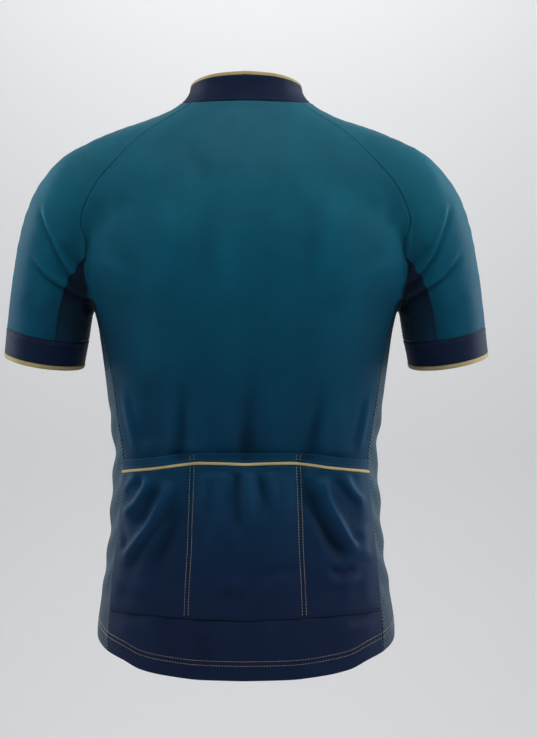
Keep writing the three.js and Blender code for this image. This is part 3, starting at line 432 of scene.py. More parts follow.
def side_grid(rows, cols):
    js = lerp(ROW_CORNER, ROW_END, rows)
    top = along_line(UNDERARM_LINE, cols)
    top_angle = np.arctan2(top[:, 1], top[:, 0]) / RAD
    out = np.zeros((len(js), len(cols), 3))
    for r, j in enumerate(js):
        ea, ez = back_edge(j)
        fa, fz = float(front_edge_angle(np.array(j))), float(front_edge_z(j))
        a, z = lerp(ea, fa, cols), lerp(ez, fz, cols)
        if j > ROW_HEM:
            low = (j - ROW_HEM) / HEM_ROWS
            z = z + low * (hem(a) - lerp(hem(back_edge(ROW_END)[0]), hem(-18.5), cols)) * (cols * (1 - cols) * 4 > 0)
        if j < ROW_CORNER + 1:
            v = j - ROW_CORNER
            ra, rz = back_edge(ROW_CORNER + 1)
            qa, qz = float(front_edge_angle(np.array(ROW_CORNER + 1.0))), float(front_edge_z(ROW_CORNER + 1.0))
            a1, z1 = lerp(ra, qa, cols), lerp(rz, qz, cols)
            a, z = lerp(top_angle, a1, v), lerp(top[:, 2], z1, v)
            ends_a = np.array([ea, fa])
            a[0], a[-1] = ends_a
            z[0], z[-1] = ez, fz
        c, s = np.cos(a * RAD), np.sin(a * RAD)
        near = np.stack([c * body_radius(c, s, z), s * body_radius(c, s, z), z], -1)
        out[r] = settle(near, 3, 1.5)
        out[r, :, 2] = np.where(np.abs(out[r, :, 2] - z) > 3, z, out[r, :, 2])
    out[0] = top
    return out, js


def raglan_points(js, front=False):
    """Points of the armhole seam by row number."""
    table = RAGLAN_FRONT if front else RAGLAN_BACK
    z = by_row([r[0] for r in table])(js)
    a = (raglan_front if front else raglan_back)(z)
    a = np.where(np.asarray(js) <= 0, table[0][1], a)
    return body_point(a, z)


SLEEVE_ROWS = 14


def low_seam(front, share):
    """Sleeve seam from the armhole to the cuff, as angle and place."""
    start = on_sleeve(raglan_points(np.array([float(GUSSET)]), front))[0]
    s = lerp(start[1], CUFF_TOP, share)
    fade = 1 - smooth(start[1], start[1] + 0.9, s)
    angle = under(s) + fade * (abs(start[0]) - float(under(start[1])))
    return (-angle if front else angle), s


def patch(L, R, T, B, u, v, power_top):
    """Fills four edges given in angle, place and reach."""
    U, V = u[None, :, None], v[:, None, None]
    base = lerp(L[:, None], R[:, None], U)
    top = (1 - V) ** power_top * (T[None] - lerp(T[0], T[-1], u[:, None])[None])
    low = V ** 2 * (B[None] - lerp(B[0], B[-1], u[:, None])[None])
    return base + top + low


def sleeve_grid(rows, cols):
    """Upper panel of the sleeve, from its back edge to its front edge."""
    js = SLEEVE_ROWS * rows
    edges = []
    for front in (False, True):
        hi = js <= GUSSET
        pts = np.zeros((len(js), 3))
        chart = np.zeros((len(js), 3))
        pts[hi] = raglan_points(js[hi], front)
        chart[hi] = on_sleeve(pts[hi])
        a, s = low_seam(front, (js[~hi] - GUSSET) / (SLEEVE_ROWS - GUSSET))
        pts[~hi] = sleeve_point(a, s)
        chart[~hi] = np.stack([a, s, 0 * a], -1)
        chart[~hi, 2] = on_sleeve(pts[~hi])[:, 2]
        edges.append((pts, chart))
    (lp, L), (rp, R) = edges
    na = lerp(RAGLAN_BACK[0][1], RAGLAN_FRONT[0][1], cols)
    tp = body_point(na, neck_z(na))
    T = on_sleeve(tp)
    ca = lerp(L[-1, 0], R[-1, 0], cols)
    bp = sleeve_point(ca, CUFF_TOP)
    B = np.stack([ca, np.full(len(ca), CUFF_TOP), on_sleeve(bp)[:, 2]], -1)
    m = patch(L, R, T, B, cols, rows, 2)
    p = sleeve_point(m[..., 0], m[..., 1])
    p[:, 0], p[:, -1], p[0], p[-1] = lp, rp, tp, bp
    return p, m


def under_grid(rows, cols):
    """Mesh panel under the sleeve, from its back edge to its front edge."""
    edges = []
    for front in (False, True):
        a, s = low_seam(front, rows)
        pts = sleeve_point(a, s)
        pts[0] = raglan_points(np.array([float(GUSSET)]), front)[0]
        edges.append((pts, np.stack([a, s, on_sleeve(pts)[:, 2]], -1)))
    (lp, L), (rp, R) = edges
    n = 24
    arm = np.concatenate([
        raglan_points(np.linspace(GUSSET, ROW_CORNER, n)), UNDERARM_LINE[1:-1],
        raglan_points(np.linspace(GUSSET, ROW_CORNER, n), True)[::-1]])
    tp = along_line(arm, cols)
    T = on_sleeve(tp)
    T[:, 0] = np.where(T[:, 0] < 0, T[:, 0] + 360, T[:, 0])
    R[:, 0] += 360
    ca = lerp(L[-1, 0], R[-1, 0], cols)
    bp = sleeve_point(ca, CUFF_TOP)
    B = np.stack([ca, np.full(len(ca), CUFF_TOP), on_sleeve(bp)[:, 2]], -1)
    m = patch(L, R, T, B, cols, rows, 1)
    p = sleeve_point(m[..., 0], m[..., 1], m[..., 2])
    p[:, 0], p[:, -1], p[0], p[-1] = lp, rp, tp, bp
    return p, m


def neck_line(count):
    """The neck seam from the zip's left edge round the back to its right edge."""
    first = zip_point(np.array([-48.0]))[0]
    a0 = math.atan2(first[1], first[0]) / RAD
    a = np.linspace(a0, 90, count)
    left = body_point(a, neck_z(a))
    left[0] = first
    right = left[:-1][::-1] * [-1, 1, 1]
    left[-1, 0] = 0
    return np.concatenate([left, right])


def collar_at(p, t):
    """Neck point raised a share t of the way to the collar's rim."""
    p = np.asarray(p, float)
    angle = np.arctan2(p[..., 1] / np.where(p[..., 1] > 0, 62, 71), np.abs(p[..., 0]) / 68) / RAD
    c, s = np.cos(angle * RAD), np.sin(angle * RAD)
    x = np.maximum(65 * c, np.where(p[..., 1] < 0, ZIP_HALF, 0))
    q = np.stack([np.sign(p[..., 0]) * x, np.where(s > 0, 58, 62) * s, rim_z(angle)], -1)
    k = 1 - (1 - t) ** COLLAR_FLARE
    out = lerp(p, q, k)
    out[..., 2] = lerp(p[..., 2], q[..., 2], t)
    return out


def collar_out(p):
    return unit(np.stack([p[..., 0] / 66 ** 2, p[..., 1] / 62 ** 2, 0 * p[..., 0]], -1))


# ---------------------------------------------------------------- folds
# Each fold is a line in the view of the back, in its pixels, on the back (side 1) or the
# front (side -1). height is its ridge, or a trough below nought; dip is the trough (or
# ridge) that goes with it, on the side `lean`: 1 is below a line drawn to the right and
# left of one drawn downwards. ends are the shares over which it starts and fades.
# kind says which pieces take it.
def fold(kind, side, width, height, dip, lean, line, ends=(0.3, 0.3)):
    return dict(kind=kind, side=side, width=width, height=height, dip=dip, lean=lean, line=line, ends=ends)


FOLDS = [
    # upper back
    fold("body", 1, 9, -1.1, -0.4, -1, [(180, 144), (195, 158), (206, 177), (213, 202)], (0.5, 0.5)),
    fold("body", 1, 16, 1.4, 0.4, 1, [(170, 168), (173, 220), (172, 274), (170, 334)], (0.4, 0.5)),
    fold("body", 1, 11, -1.0, -0.3, 1, [(207, 198), (209, 254), (208, 322)], (0.4, 0.4)),
    fold("body", 1, 13, 1.1, 0.3, 1, [(224, 206), (225, 268), (222, 334)], (0.4, 0.4)),
    fold("body", 1, 11, -0.9, -0.3, -1, [(268, 214), (270, 276), (268, 338)], (0.4, 0.4)),
    fold("body", 1, 9, -1.7, -0.7, 1, [(313, 196), (314, 230), (309, 268), (303, 322)], (0.25, 0.6)),
    fold("body", 1, 17, 1.4, 0.4, -1, [(338, 168), (337, 220), (331, 292)], (0.4, 0.4)),
    fold("body", 1, 18, -1.4, -0.3, 1, [(127, 198), (128, 252), (132, 300), (138, 358)], (0.4, 0.4)),
    fold("body", 1, 7, 1.3, 0.9, 1, [(106, 262), (124, 271), (146, 288)], (0.1, 0.6)),
    fold("body", 1, 7, 1.1, 0.9, -1, [(389, 264), (371, 273), (349, 291)], (0.1, 0.6)),
    fold("body", 1, 7, 1.1, 0.8, 1, [(384, 186), (382, 204), (379, 226)]),
    fold("body", 1, 7, 1.1, 0.8, -1, [(108, 188), (113, 206), (118, 230)]),
    # small of the back
    fold("body", 1, 5.5, -4.3, -1.7, -1, [(188, 356), (185, 392), (183, 426), (182, 457)], (0.85, 0.02)),
    fold("body", 1, 9, -3.9, -1.0, -1, [(256, 350), (252, 386), (248, 424), (246, 457)], (0.9, 0.02)),
    fold("body", 1, 6.5, -4.0, -1.7, 1, [(322, 366), (319, 400), (314, 430), (308, 457)], (0.8, 0.02)),
    fold("body", 1, 9, 1.8, 0.3, 1, [(198, 390), (199, 425), (198, 456)], (0.5, 0.05)),
    fold("body", 1, 9, 1.5, 0.3, 1, [(228, 388), (228, 424), (226, 456)], (0.5, 0.05)),
    fold("body", 1, 11, 1.4, 0.3, 1, [(275, 384), (277, 420), (279, 456)], (0.5, 0.05)),
    fold("body", 1, 12, 1.7, 0.3, 1, [(340, 384), (339, 420), (337, 456)], (0.5, 0.05)),
    fold("body", 1, 13, -2.3, -0.5, -1, [(156, 366), (152, 402), (150, 444)], (0.5, 0.1)),
    fold("body", 1, 4, 1.7, 1.6, 1, [(121, 384), (125, 410), (131, 436), (136, 452)], (0.4, 0.2)),
    fold("body", 1, 4, 1.5, 1.4, -1, [(374, 388), (369, 414), (364, 438), (360, 452)], (0.4, 0.2)),
    # hanging folds of the pockets
    fold("pocket", 1, 4.4, 6.2, 1.8, 1, [(174, 481), (166, 500), (159, 517), (151, 531), (142, 544), (134, 554), (125, 565)], (0.12, 0.2)),
    fold("pocket", 1, 10, -5.4, 0.0, 1, [(184, 496), (177, 528), (164, 556), (147, 574)], (0.3, 0.4)),
    fold("pocket", 1, 4.0, 4.8, 2.1, -1, [(152, 476), (149, 489), (143, 500), (136, 509), (125, 518)], (0.2, 0.2)),
    fold("pocket", 1, 5, -4.6, 0.0, 1, [(165, 482), (157, 500), (147, 518), (133, 532)]),
    fold("pocket", 1, 4, 2.5, 1.3, 1, [(141, 476), (131, 486), (123, 497)], (0.15, 0.3)),
    fold("pocket", 1, 4, 2.0, 1.0, 1, [(119, 534), (124, 542), (122, 552)]),
    fold("pocket", 1, 4.8, 7.0, 0.8, 1, [(318, 478), (323, 492), (327, 505), (333, 519), (340, 533), (347, 546), (355, 557)], (0.12, 0.2)),
    fold("pocket", 1, 7, -6.6, 0.0, 1, [(303, 480), (309, 498), (317, 517), (325, 534), (335, 549), (346, 560)], (0.25, 0.25)),
    fold("pocket", 1, 4.4, 4.4, 2.1, -1, [(342, 476), (346, 487), (353, 497), (363, 506)], (0.2, 0.25)),
    fold("pocket", 1, 6, -2.1, 0.0, 1, [(336, 490), (344, 508), (352, 526)]),
    fold("pocket", 1, 10, 3.8, 0.0, 1, [(356, 524), (360, 544), (360, 564)]),
    fold("pocket", 1, 3.6, -2.6, -1.3, 1, [(325, 569), (340, 573), (353, 569)], (0.3, 0.2)),
    fold("pocket", 1, 4, 2.1, 0.8, -1, [(322, 579), (342, 585), (362, 578)]),
    fold("pocket", 1, 5, 2.2, 0.8, 1, [(307, 476), (312, 486), (315, 498)], (0.1, 0.5)),
    fold("pocket", 1, 5, 3.6, 1.0, -1, [(206, 474), (206, 492), (205, 512)], (0.08, 0.6)),
    fold("pocket", 1, 6, 3.9, 0.8, 1, [(223, 474), (222, 500), (220, 538)], (0.08, 0.6)),
    fold("pocket", 1, 4.5, -2.3, -0.6, 1, [(238, 474), (239, 502), (240, 548)], (0.08, 0.5)),
    fold("pocket", 1, 4.5, 3.9, 0.8, -1, [(248, 474), (250, 500), (252, 542)], (0.08, 0.55)),
    fold("pocket", 1, 4, -1.7, -0.5, -1, [(261, 474), (263, 496), (264, 520)], (0.08, 0.6)),
    fold("pocket", 1, 5, 3.6, 0.8, -1, [(268, 474), (273, 494), (276, 526)], (0.08, 0.6)),
    fold("pocket", 1, 8, 2.0, 0.4, 1, [(288, 476), (287, 510), (284, 552)], (0.1, 0.5)),
    fold("pocket", 1, 7, -1.6, -0.4, 1, [(203, 520), (203, 552), (200, 584)]),
    fold("pocket", 1, 6, 1.3, 1.0, -1, [(206, 592), (226, 584), (248, 586)]),
    fold("pocket", 1, 6, 1.3, 0.9, 1, [(262, 590), (280, 581), (296, 586)]),
    fold("pocket", 1, 6, 1.3, 0.9, -1, [(122, 582), (140, 588), (160, 587)]),
    # hem
    fold("hem", 1, 9, 1.1, 0.8, 1, [(150, 606), (154, 640), (152, 672)]),
    fold("hem", 1, 10, -1.2, -0.5, 1, [(206, 612), (203, 645), (206, 680)]),
    fold("hem", 1, 10, 1.1, 0.6, -1, [(268, 612), (271, 648), (267, 684)]),
    fold("hem", 1, 9, -1.2, -0.6, -1, [(330, 610), (327, 642), (331, 674)]),
    fold("hem", 1, 6, 1.0, 0.8, 1, [(118, 622), (136, 628), (158, 626)]),
    fold("hem", 1, 6, 1.0, 0.8, -1, [(378, 624), (360, 630), (340, 627)]),
    # sleeves, their back halves
    fold("sleeve", 1, 2.7, 2.7, 2.3, -1, [(44, 202), (46, 215), (50, 228), (56, 241), (63, 255), (71, 268), (80, 279)], (0.25, 0.08)),
    fold("sleeve", 1, 2.6, 2.3, 2.2, -1, [(32, 252), (41, 264), (50, 274), (60, 281), (71, 287), (82, 292), (92, 297)], (0.25, 0.08)),
    fold("sleeve", 1, 7, -1.8, 0.0, 1, [(62, 240), (70, 254), (80, 266)], (0.4, 0.1)),
    fold("sleeve", 1, 2.7, 2.7, 2.5, 1, [(447, 200), (445, 214), (441, 229), (436, 243), (429, 256), (420, 268), (407, 282)], (0.25, 0.08)),
    fold("sleeve", 1, 2.6, 2.3, 2.2, 1, [(461, 248), (453, 261), (444, 272), (434, 280), (424, 286), (412, 292), (400, 298)], (0.25, 0.08)),
    fold("sleeve", 1, 7, -1.8, 0.0, 1, [(430, 242), (422, 255), (411, 266)], (0.4, 0.1)),
    fold("sleeve", 1, 3.2, 1.6, 1.2, 1, [(84, 222), (84, 245), (85, 268), (89, 288)], (0.3, 0.2)),
    fold("sleeve", 1, 3.2, 1.6, 1.2, -1, [(408, 224), (409, 246), (407, 268), (403, 288)], (0.3, 0.2)),
    fold("sleeve", 1, 4, 1.2, 1.1, 1, [(62, 308), (76, 313), (90, 314)], (0.3, 0.2)),
    fold("sleeve", 1, 4, 1.2, 1.1, -1, [(431, 308), (417, 313), (402, 315)], (0.3, 0.2)),
    fold("sleeve", 1, 16, 1.4, 0.6, 1, [(70, 142), (54, 176), (45, 210)]),
    fold("sleeve", 1, 16, 1.4, 0.6, -1, [(422, 142), (437, 176), (446, 210)]),
    fold("sleeve", 1, 9, -1.2, -0.5, 1, [(26, 292), (34, 308), (48, 320)]),
    fold("sleeve", 1, 9, -1.2, -0.5, -1, [(466, 292), (458, 308), (444, 320)]),
    # front of the body
    fold("body", -1, 9, 2.9, 2.5, 1, [(112, 262), (138, 282), (166, 318)], (0.1, 0.5)),
    fold("body", -1, 8, 2.2, 1.8, 1, [(110, 288), (130, 312), (148, 350)], (0.1, 0.5)),
    fold("body", -1, 9, 2.7, 2.3, -1, [(381, 258), (354, 284), (328, 322)], (0.1, 0.5)),
    fold("body", -1, 8, 2.3, 2.0, -1, [(384, 290), (366, 314), (350, 354)], (0.1, 0.5)),
    fold("body", -1, 10, -2.9, -1.6, 1, [(184, 334), (179, 388), (184, 444)]),
    fold("body", -1, 10, -2.7, -1.6, -1, [(309, 330), (314, 386), (308, 446)]),
    fold("body", -1, 10, 2.1, 1.0, 1, [(212, 392), (216, 448), (212, 506)]),
    fold("body", -1, 10, 2.0, 1.0, -1, [(284, 398), (281, 452), (286, 508)]),
    fold("body", -1, 10, -2.3, -1.2, -1, [(150, 148), (168, 178), (188, 206)]),
    fold("body", -1, 10, -2.2, -1.2, 1, [(344, 146), (326, 176), (304, 202)]),
    fold("body", -1, 12, 1.8, 0.9, 1, [(166, 214), (176, 252), (178, 292)]),
    fold("body", -1, 12, 1.7, 0.9, -1, [(328, 212), (318, 250), (318, 290)]),
    fold("body", -1, 9, 2.0, 1.4, 1, [(158, 520), (165, 566), (161, 608)]),
    fold("body", -1, 9, -2.0, -1.0, 1, [(198, 530), (194, 572), (198, 612)]),
    fold("body", -1, 9, 1.8, 1.3, -1, [(334, 522), (327, 566), (332, 610)]),
    fold("body", -1, 9, -1.8, -1.0, -1, [(296, 532), (300, 574), (295, 612)]),
    fold("body", -1, 7, 1.7, 1.4, 1, [(136, 420), (152, 436), (172, 442)]),
    fold("body", -1, 7, 1.7, 1.4, -1, [(358, 424), (340, 440), (322, 444)]),
    fold("body", -1, 6, 1.6, 1.3, 1, [(196, 118), (212, 132), (232, 138)]),
    fold("body", -1, 6, 1.6, 1.3, -1, [(298, 120), (281, 133), (262, 139)]),
    # sleeves, their front halves
    fold("sleeve", -1, 6, 3.9, 4.2, 1, [(48, 214), (54, 236), (66, 256), (84, 272)], (0.35, 0.12)),
    fold("sleeve", -1, 6, 3.1, 3.4, 1, [(34, 262), (50, 280), (68, 290), (88, 294)], (0.3, 0.12)),
    fold("sleeve", -1, 6, 3.9, 4.2, -1, [(446, 208), (438, 236), (424, 258), (404, 274)], (0.35, 0.12)),
    fold("sleeve", -1, 6, 3.1, 3.4, -1, [(458, 264), (440, 282), (422, 290), (402, 295)], (0.3, 0.12)),
    fold("sleeve", -1, 14, 2.1, 1.2, 1, [(80, 142), (62, 172), (50, 206)]),
    fold("sleeve", -1, 14, 2.1, 1.2, -1, [(412, 142), (430, 172), (443, 206)]),
    fold("sleeve", -1, 8, 2.0, 1.6, -1, [(112, 150), (98, 178), (92, 210)]),
    fold("sleeve", -1, 8, 2.0, 1.6, 1, [(380, 150), (394, 178), (401, 210)]),
]


def from_view(points, on_arm):
    k = 1.152 if on_arm else 1.134
    q = np.array(points, float)
    return np.stack([(246 - q[:, 0]) * k, -311 - (q[:, 1] - 369) * k], -1)


for f in FOLDS:
    flat = from_view(f["line"], f["kind"] == "sleeve")
    flat = rail(flat, np.linspace(0, len(flat) - 1, 26))
    arm = (np.abs(flat[:, 0]) > 168) & (flat[:, 1] < -110)
    o = np.stack([flat[:, 0], np.where(arm, -8.0, 0.0), flat[:, 1]], -1)
    d = np.zeros(o.shape)
    d[:, 1] = f["side"]
    hit = meet(o, d, 0.0, 160.0, 30)
    hit[:, 1] = np.where((hit[:, 1] - o[:, 1]) * f["side"] < 0, o[:, 1], hit[:, 1])
    f["points"] = hit
    f["normal"] = unit(slope_of(hit))


def fold_relief(p, n, kinds):
    """How far the folds of these kinds lift the cloth at points p with normals n."""
    flat, fn = p.reshape(-1, 3), n.reshape(-1, 3)
    total = np.zeros(len(flat))
    for f in FOLDS:
        if f["kind"] not in kinds:
            continue
        q, w = f["points"], f["width"] * 1.12
        lo, hi = q.min(0) - 4.2 * w, q.max(0) + 4.2 * w
        pick = np.nonzero(((flat > lo) & (flat < hi)).all(1))[0]
        if not len(pick):
            continue
        x = flat[pick]
        a, b = q[:-1], q[1:]
        ab = b - a
        t = ((x[:, None] - a[None]) * ab[None]).sum(-1) / np.maximum((ab * ab).sum(-1), 1e-9)[None]
        t = np.clip(t, 0, 1)
        gap = x[:, None] - (a[None] + t[..., None] * ab[None])
        dist = np.linalg.norm(gap, axis=-1)
        k = np.argmin(dist, 1)
        row = np.arange(len(x))
        near, g, seg = dist[row, k], gap[row, k], ab[k]
        share = (k + t[row, k]) / len(a)
        across = g[:, 0] * seg[:, 2] - g[:, 2] * seg[:, 0]
        d = near * np.sign(across) * f["lean"]
        faces = smooth(-0.1, 0.35, (fn[pick] * f["normal"][k]).sum(-1))
        e0, e1 = f["ends"]
        taper = smooth(0, e0, share + 0.02) * smooth(0, e1, 1.02 - share)
        ww = w * (1 + 0.55 * np.abs(2 * share - 1) ** 2)
        main = f["height"] * np.exp(-(d / ww) ** 2)
        other = -f["dip"] * np.exp(-((d - 1.75 * ww) / (1.05 * ww)) ** 2)
        total[pick] += (main + other) * taper * faces
    return total.reshape(p.shape[:-1])


def ripple_set(seed, count, short, long, stretch=(1, 1, 1)):
    g = np.random.default_rng(seed)
    d = unit(g.normal(size=(count, 3)) * np.array(stretch))
    k = d * (2 * math.pi / np.exp(g.uniform(math.log(short), math.log(long), count)))[:, None]
    return k, g.uniform(0, 2 * math.pi, count)


RIPPLES = {
    "broad": ripple_set(3, 16, 60, 150, (1, 1, 0.45)),
    "middle": ripple_set(8, 20, 22, 48, (1, 1, 0.7)),
    "fine": ripple_set(21, 26, 7, 13),
    "pucker": ripple_set(34, 26, 5.5, 11),
}


def ripples(p, name):
    k, phase = RIPPLES[name]
    out = np.zeros(p.shape[:-1])
    for kk, ph in zip(k, phase):
        out += np.sin(p @ kk + ph)
    return out / math.sqrt(len(k))


# ---------------------------------------------------------------- cloth shells
def lengths(p, axis):
    """Distance along each line of a grid."""
    d = np.linalg.norm(np.diff(p, axis=axis), axis=-1)
    s = np.cumsum(d, axis=axis)
    pad = [(1, 0) if a == axis else (0, 0) for a in range(2)]
    return np.pad(s, pad)


def edge_gap(p, edges):
    """Distance to the nearest of the named edges (t, b, l, r)."""
    across, down = lengths(p, 1), lengths(p, 0)
    gap = np.full(p.shape[:2], 1e3)
    if "l" in edges:
        gap = np.minimum(gap, across)
    if "r" in edges:
        gap = np.minimum(gap, across[:, -1:] - across)
    if "t" in edges:
        gap = np.minimum(gap, down)
    if "b" in edges:
        gap = np.minimum(gap, down[-1:] - down)
    return gap


def seam_relief(gap):
    return -0.40 * np.exp(-(gap / 0.8) ** 2) + 0.34 * np.exp(-((gap - 2.7) / 1.4) ** 2)


def body_relief(p, n, kinds, seams):
    gap = edge_gap(p, seams)
    relief = fold_relief(p, n, kinds)
    relief = relief + 0.42 * ripples(p, "broad") + 0.16 * ripples(p, "middle")
    relief = relief + 0.17 * ripples(p, "pucker") * np.exp(-gap / 7.0)
    return relief + seam_relief(gap), gap


MM = 0.001
PIECES = {}


def build(name, verts, quads, tris=(), cloth=None, relief=None, sharp=50):
    mesh = bpy.data.meshes.new(name)
    v = np.asarray(verts, float) * MM
    q, t = np.asarray(quads, np.int64).reshape(-1, 4), np.asarray(tris, np.int64).reshape(-1, 3)
    mesh.vertices.add(len(v))
    mesh.vertices.foreach_set("co", v.astype(np.float32).ravel())
    loops = np.concatenate([q.ravel(), t.ravel()])
    mesh.loops.add(len(loops))
    mesh.loops.foreach_set("vertex_index", loops.astype(np.int32))
    mesh.polygons.add(len(q) + len(t))
    starts = np.concatenate([np.arange(len(q)) * 4, len(q) * 4 + np.arange(len(t)) * 3])
    mesh.polygons.foreach_set("loop_start", starts.astype(np.int32))
    mesh.update(calc_edges=True)
    mesh.validate()
    mesh.polygons.foreach_set("use_smooth", np.ones(len(mesh.polygons), bool))
    mesh.set_sharp_from_angle(angle=math.radians(sharp))
    if cloth is not None:
        a = mesh.attributes.new("cloth", "FLOAT_VECTOR", "POINT")
        a.data.foreach_set("vector", np.asarray(cloth, np.float32).ravel())
    if relief is not None:
        a = mesh.attributes.new("relief", "FLOAT", "POINT")
        a.data.foreach_set("value", np.asarray(relief, np.float32).ravel())
    mesh.update()
    obj = bpy.data.objects.new(name, mesh)
    bpy.context.scene.collection.objects.link(obj)
    PIECES[name] = obj
    return obj


def pull_back(p, edges, amount):
    """Stops a panel a little short of its seams."""
    q = p.copy()
    if "t" in edges:
        q[0] += unit(p[1] - p[0]) * amount
    if "b" in edges:
        q[-1] += unit(p[-2] - p[-1]) * amount
    if "l" in edges:
        q[:, 0] += unit(p[:, 1] - p[:, 0]) * amount
    if "r" in edges:
        q[:, -1] += unit(p[:, -2] - p[:, -1]) * amount
    return q


def shell(name, outer, n, wall, free="", closed=False, gap=None, relief=None, chart=None):
    """A closed sheet: the outer face, the inner face one wall in, and its rims. Free rims are rounded."""
    rows, cols = outer.shape[:2]
    inner = outer - n * np.broadcast_to(np.asarray(wall, float), outer.shape[:2])[..., None]
    verts = [outer.reshape(-1, 3), inner.reshape(-1, 3)]
    idx = np.arange(rows * cols).reshape(rows, cols)
    out_i, in_i = idx, idx + rows * cols
    count = 2 * rows * cols
    u, v = lengths(outer, 1), lengths(outer, 0)
    if chart is not None:
        u, v = chart
    gap = np.full((rows, cols), 50.0) if gap is None else gap
    relief = np.zeros((rows, cols)) if relief is None else relief
    cloth = [np.stack([u, v, gap], -1).reshape(-1, 3)] * 2
    rel = [relief.ravel()] * 2
    wrap = lambda a: np.concatenate([a, a[:, :1]], 1) if closed else a
    A, B = wrap(out_i), wrap(in_i)
    quads = [np.stack([A[:-1, :-1], A[1:, :-1], A[1:, 1:], A[:-1, 1:]], -1).reshape(-1, 4),
             np.stack([B[:-1, :-1], B[:-1, 1:], B[1:, 1:], B[1:, :-1]], -1).reshape(-1, 4)]

    caps = []

    def rim(line, away, reverse):
        nonlocal count
        oo, ii = line
        chain = [oo]
        if away is not None:
            for share, push in ((0.16, 0.30), (0.5, 0.45), (0.84, 0.30)):
                mid = lerp(verts[0][oo % (rows * cols)], verts[1][ii % (rows * cols)], share) + away * push * np.broadcast_to(np.asarray(wall, float), outer.shape[:2]).mean()
                closed_line = closed and len(oo) > 2 and oo[0] == oo[-1]
                if closed_line:
                    mid = mid[:-1]
                ids = count + np.arange(len(mid))
                verts.append(mid)
                base = oo[:-1] if closed_line else oo
                cloth.append(cloth[0][base % (rows * cols)])
                rel.append(rel[0][base % (rows * cols)])
                count += len(mid)
                chain.append(np.concatenate([ids, ids[:1]]) if closed_line else ids)
        chain.append(ii)
        for a, b in zip(chain[:-1], chain[1:]):
            f = np.stack([a[:-1], a[1:], b[1:], b[:-1]], -1)
            quads.append(f[:, ::-1] if reverse else f)
        if away is not None and not closed:
            for end, turn in ((0, reverse), (-1, not reverse)):
                ring = [int(c[end]) for c in chain]
                for k in range(1, len(ring) - 1):
                    tri = [ring[0], ring[k], ring[k + 1]]
                    caps.append(tri[::-1] if turn else tri)

    def outward_at(edge, inside, key):
        if key not in free:
            return None
        d = unit(edge - inside)
        return np.concatenate([d, d[:1]]) if closed and key in "tb" else d

    rim((A[0], B[0]), outward_at(outer[0], outer[1], "t"), False)
    rim((A[-1], B[-1]), outward_at(outer[-1], outer[-2], "b"), True)
    if not closed:
        rim((out_i[:, 0], in_i[:, 0]), outward_at(outer[:, 0], outer[:, 1], "l"), True)
        rim((out_i[:, -1], in_i[:, -1]), outward_at(outer[:, -1], outer[:, -2], "r"), False)
    q = np.concatenate(quads)
    allv = np.concatenate(verts)
    r, c = rows // 2, cols // 2
    face = quads[0].reshape(rows - 1, -1, 4)[min(r, rows - 2), min(c, cols - 2)]
    e1, e2 = allv[face[1]] - allv[face[0]], allv[face[3]] - allv[face[0]]
    if np.dot(np.cross(e1, e2), n[min(r, rows - 2), min(c, cols - 2)]) < 0:
        q = q[:, ::-1]
        caps = [t[::-1] for t in caps]
    return build(name, allv, q, caps, cloth=np.concatenate(cloth), relief=np.concatenate(rel))


def mirror(a):
    return a * np.array([-1.0, 1, 1])


# ---------------------------------------------------------------- the panels
MAIN = ("body", "sleeve", "hem")


def shares_by_height(heights, j0, j1, step, first=True, last=True):
    """Shares of j0 to j1 that lie evenly in height."""
    js = np.linspace(j0, j1, 400)
    z = -np.array([heights(j) for j in js])
    total = z[-1] - z[0]
    s = parts(max(3, round(total / step)), total, first, last)
    return (np.interp(s * total + z[0], z, js) - j0) / (j1 - j0)


def hem_relief(gap):
    """Turned-up hem with its two lines of stitching."""
    raised = 0.40 * smooth(22.6, 20.6, gap)
    pulled = 0.28 * (np.exp(-((gap - 16.5) / 1.0) ** 2) + np.exp(-((gap - 21.5) / 1.0) ** 2))
    return raised - pulled


def drop_to(p, edge):
    """Distance down each line to the lower edge."""
    s = lengths(p, 0)
    return s[-1:] - s if edge == "b" else s


half_cols = parts(60, 205, False, True)
half_cols[int(np.argmin(np.abs(half_cols - 1 / 3)))] = 1 / 3
back_columns = np.concatenate([half_cols[::-1], half_cols[1:]])
back_sides = np.concatenate([np.ones(len(half_cols)), -np.ones(len(half_cols) - 1)])


def back_patch(j0, j1, step, first=True, last=True):
    rows = shares_by_height(lambda j: float(line_height(j, 75.0)), j0, j1, step, first, last)
    js = lerp(j0, j1, rows)
    t, c = back_columns, 1 / 3
    angle, height = np.zeros((len(js), len(t))), np.zeros((len(js), len(t)))
    for r, j in enumerate(js):
        ea, ez = back_edge(j)
        d = float(divider(ez))
        a = np.where(t <= c, lerp(90, d, t / c), lerp(d, ea, (t - c) / (1 - c)))
        angle[r], height[r] = a, line_height(j, a)
        height[r, t > 0.99999] = ez
    p = body_point(angle, height)
    p[..., 0] *= back_sides
    n = slope_of(np.abs(p) * [1, 0, 0] + p * [0, 1, 1])
    n[..., 0] *= np.where(back_sides > 0, 1, -1)
    return p, unit(n), js


def finish_panel(name, p, n, seams, free, wall=WALL, kinds=MAIN, extra=None, chart=None, base_lift=0.0):
    relief, gap = body_relief(p, n, kinds, seams)
    if extra is not None:
        relief = relief + extra
    outer = pull_back(p + n * (relief + base_lift)[..., None], seams, SEAM)
    shape = shell(name, outer, n, wall, free=free, gap=gap, relief=relief, chart=chart)
    return shape, outer


def pocket_lift(js):
    t = back_columns[None]
    k = (t - 1 / 3) / (2 / 3)
    across = np.where(t <= 1 / 3, 1 - (3 * t) ** 2, 4 * k * (1 - k))
    down = ((js - ROW_BAND) / (ROW_HEM - ROW_BAND))[:, None]
    fall = np.where(down < 0.4, lerp(POCKET_MOUTH, 1, smooth(0, 0.4, down)), 1 - smooth(0.4, 1, down) ** 1.4)
    return POCKET_FULL * across * fall, across


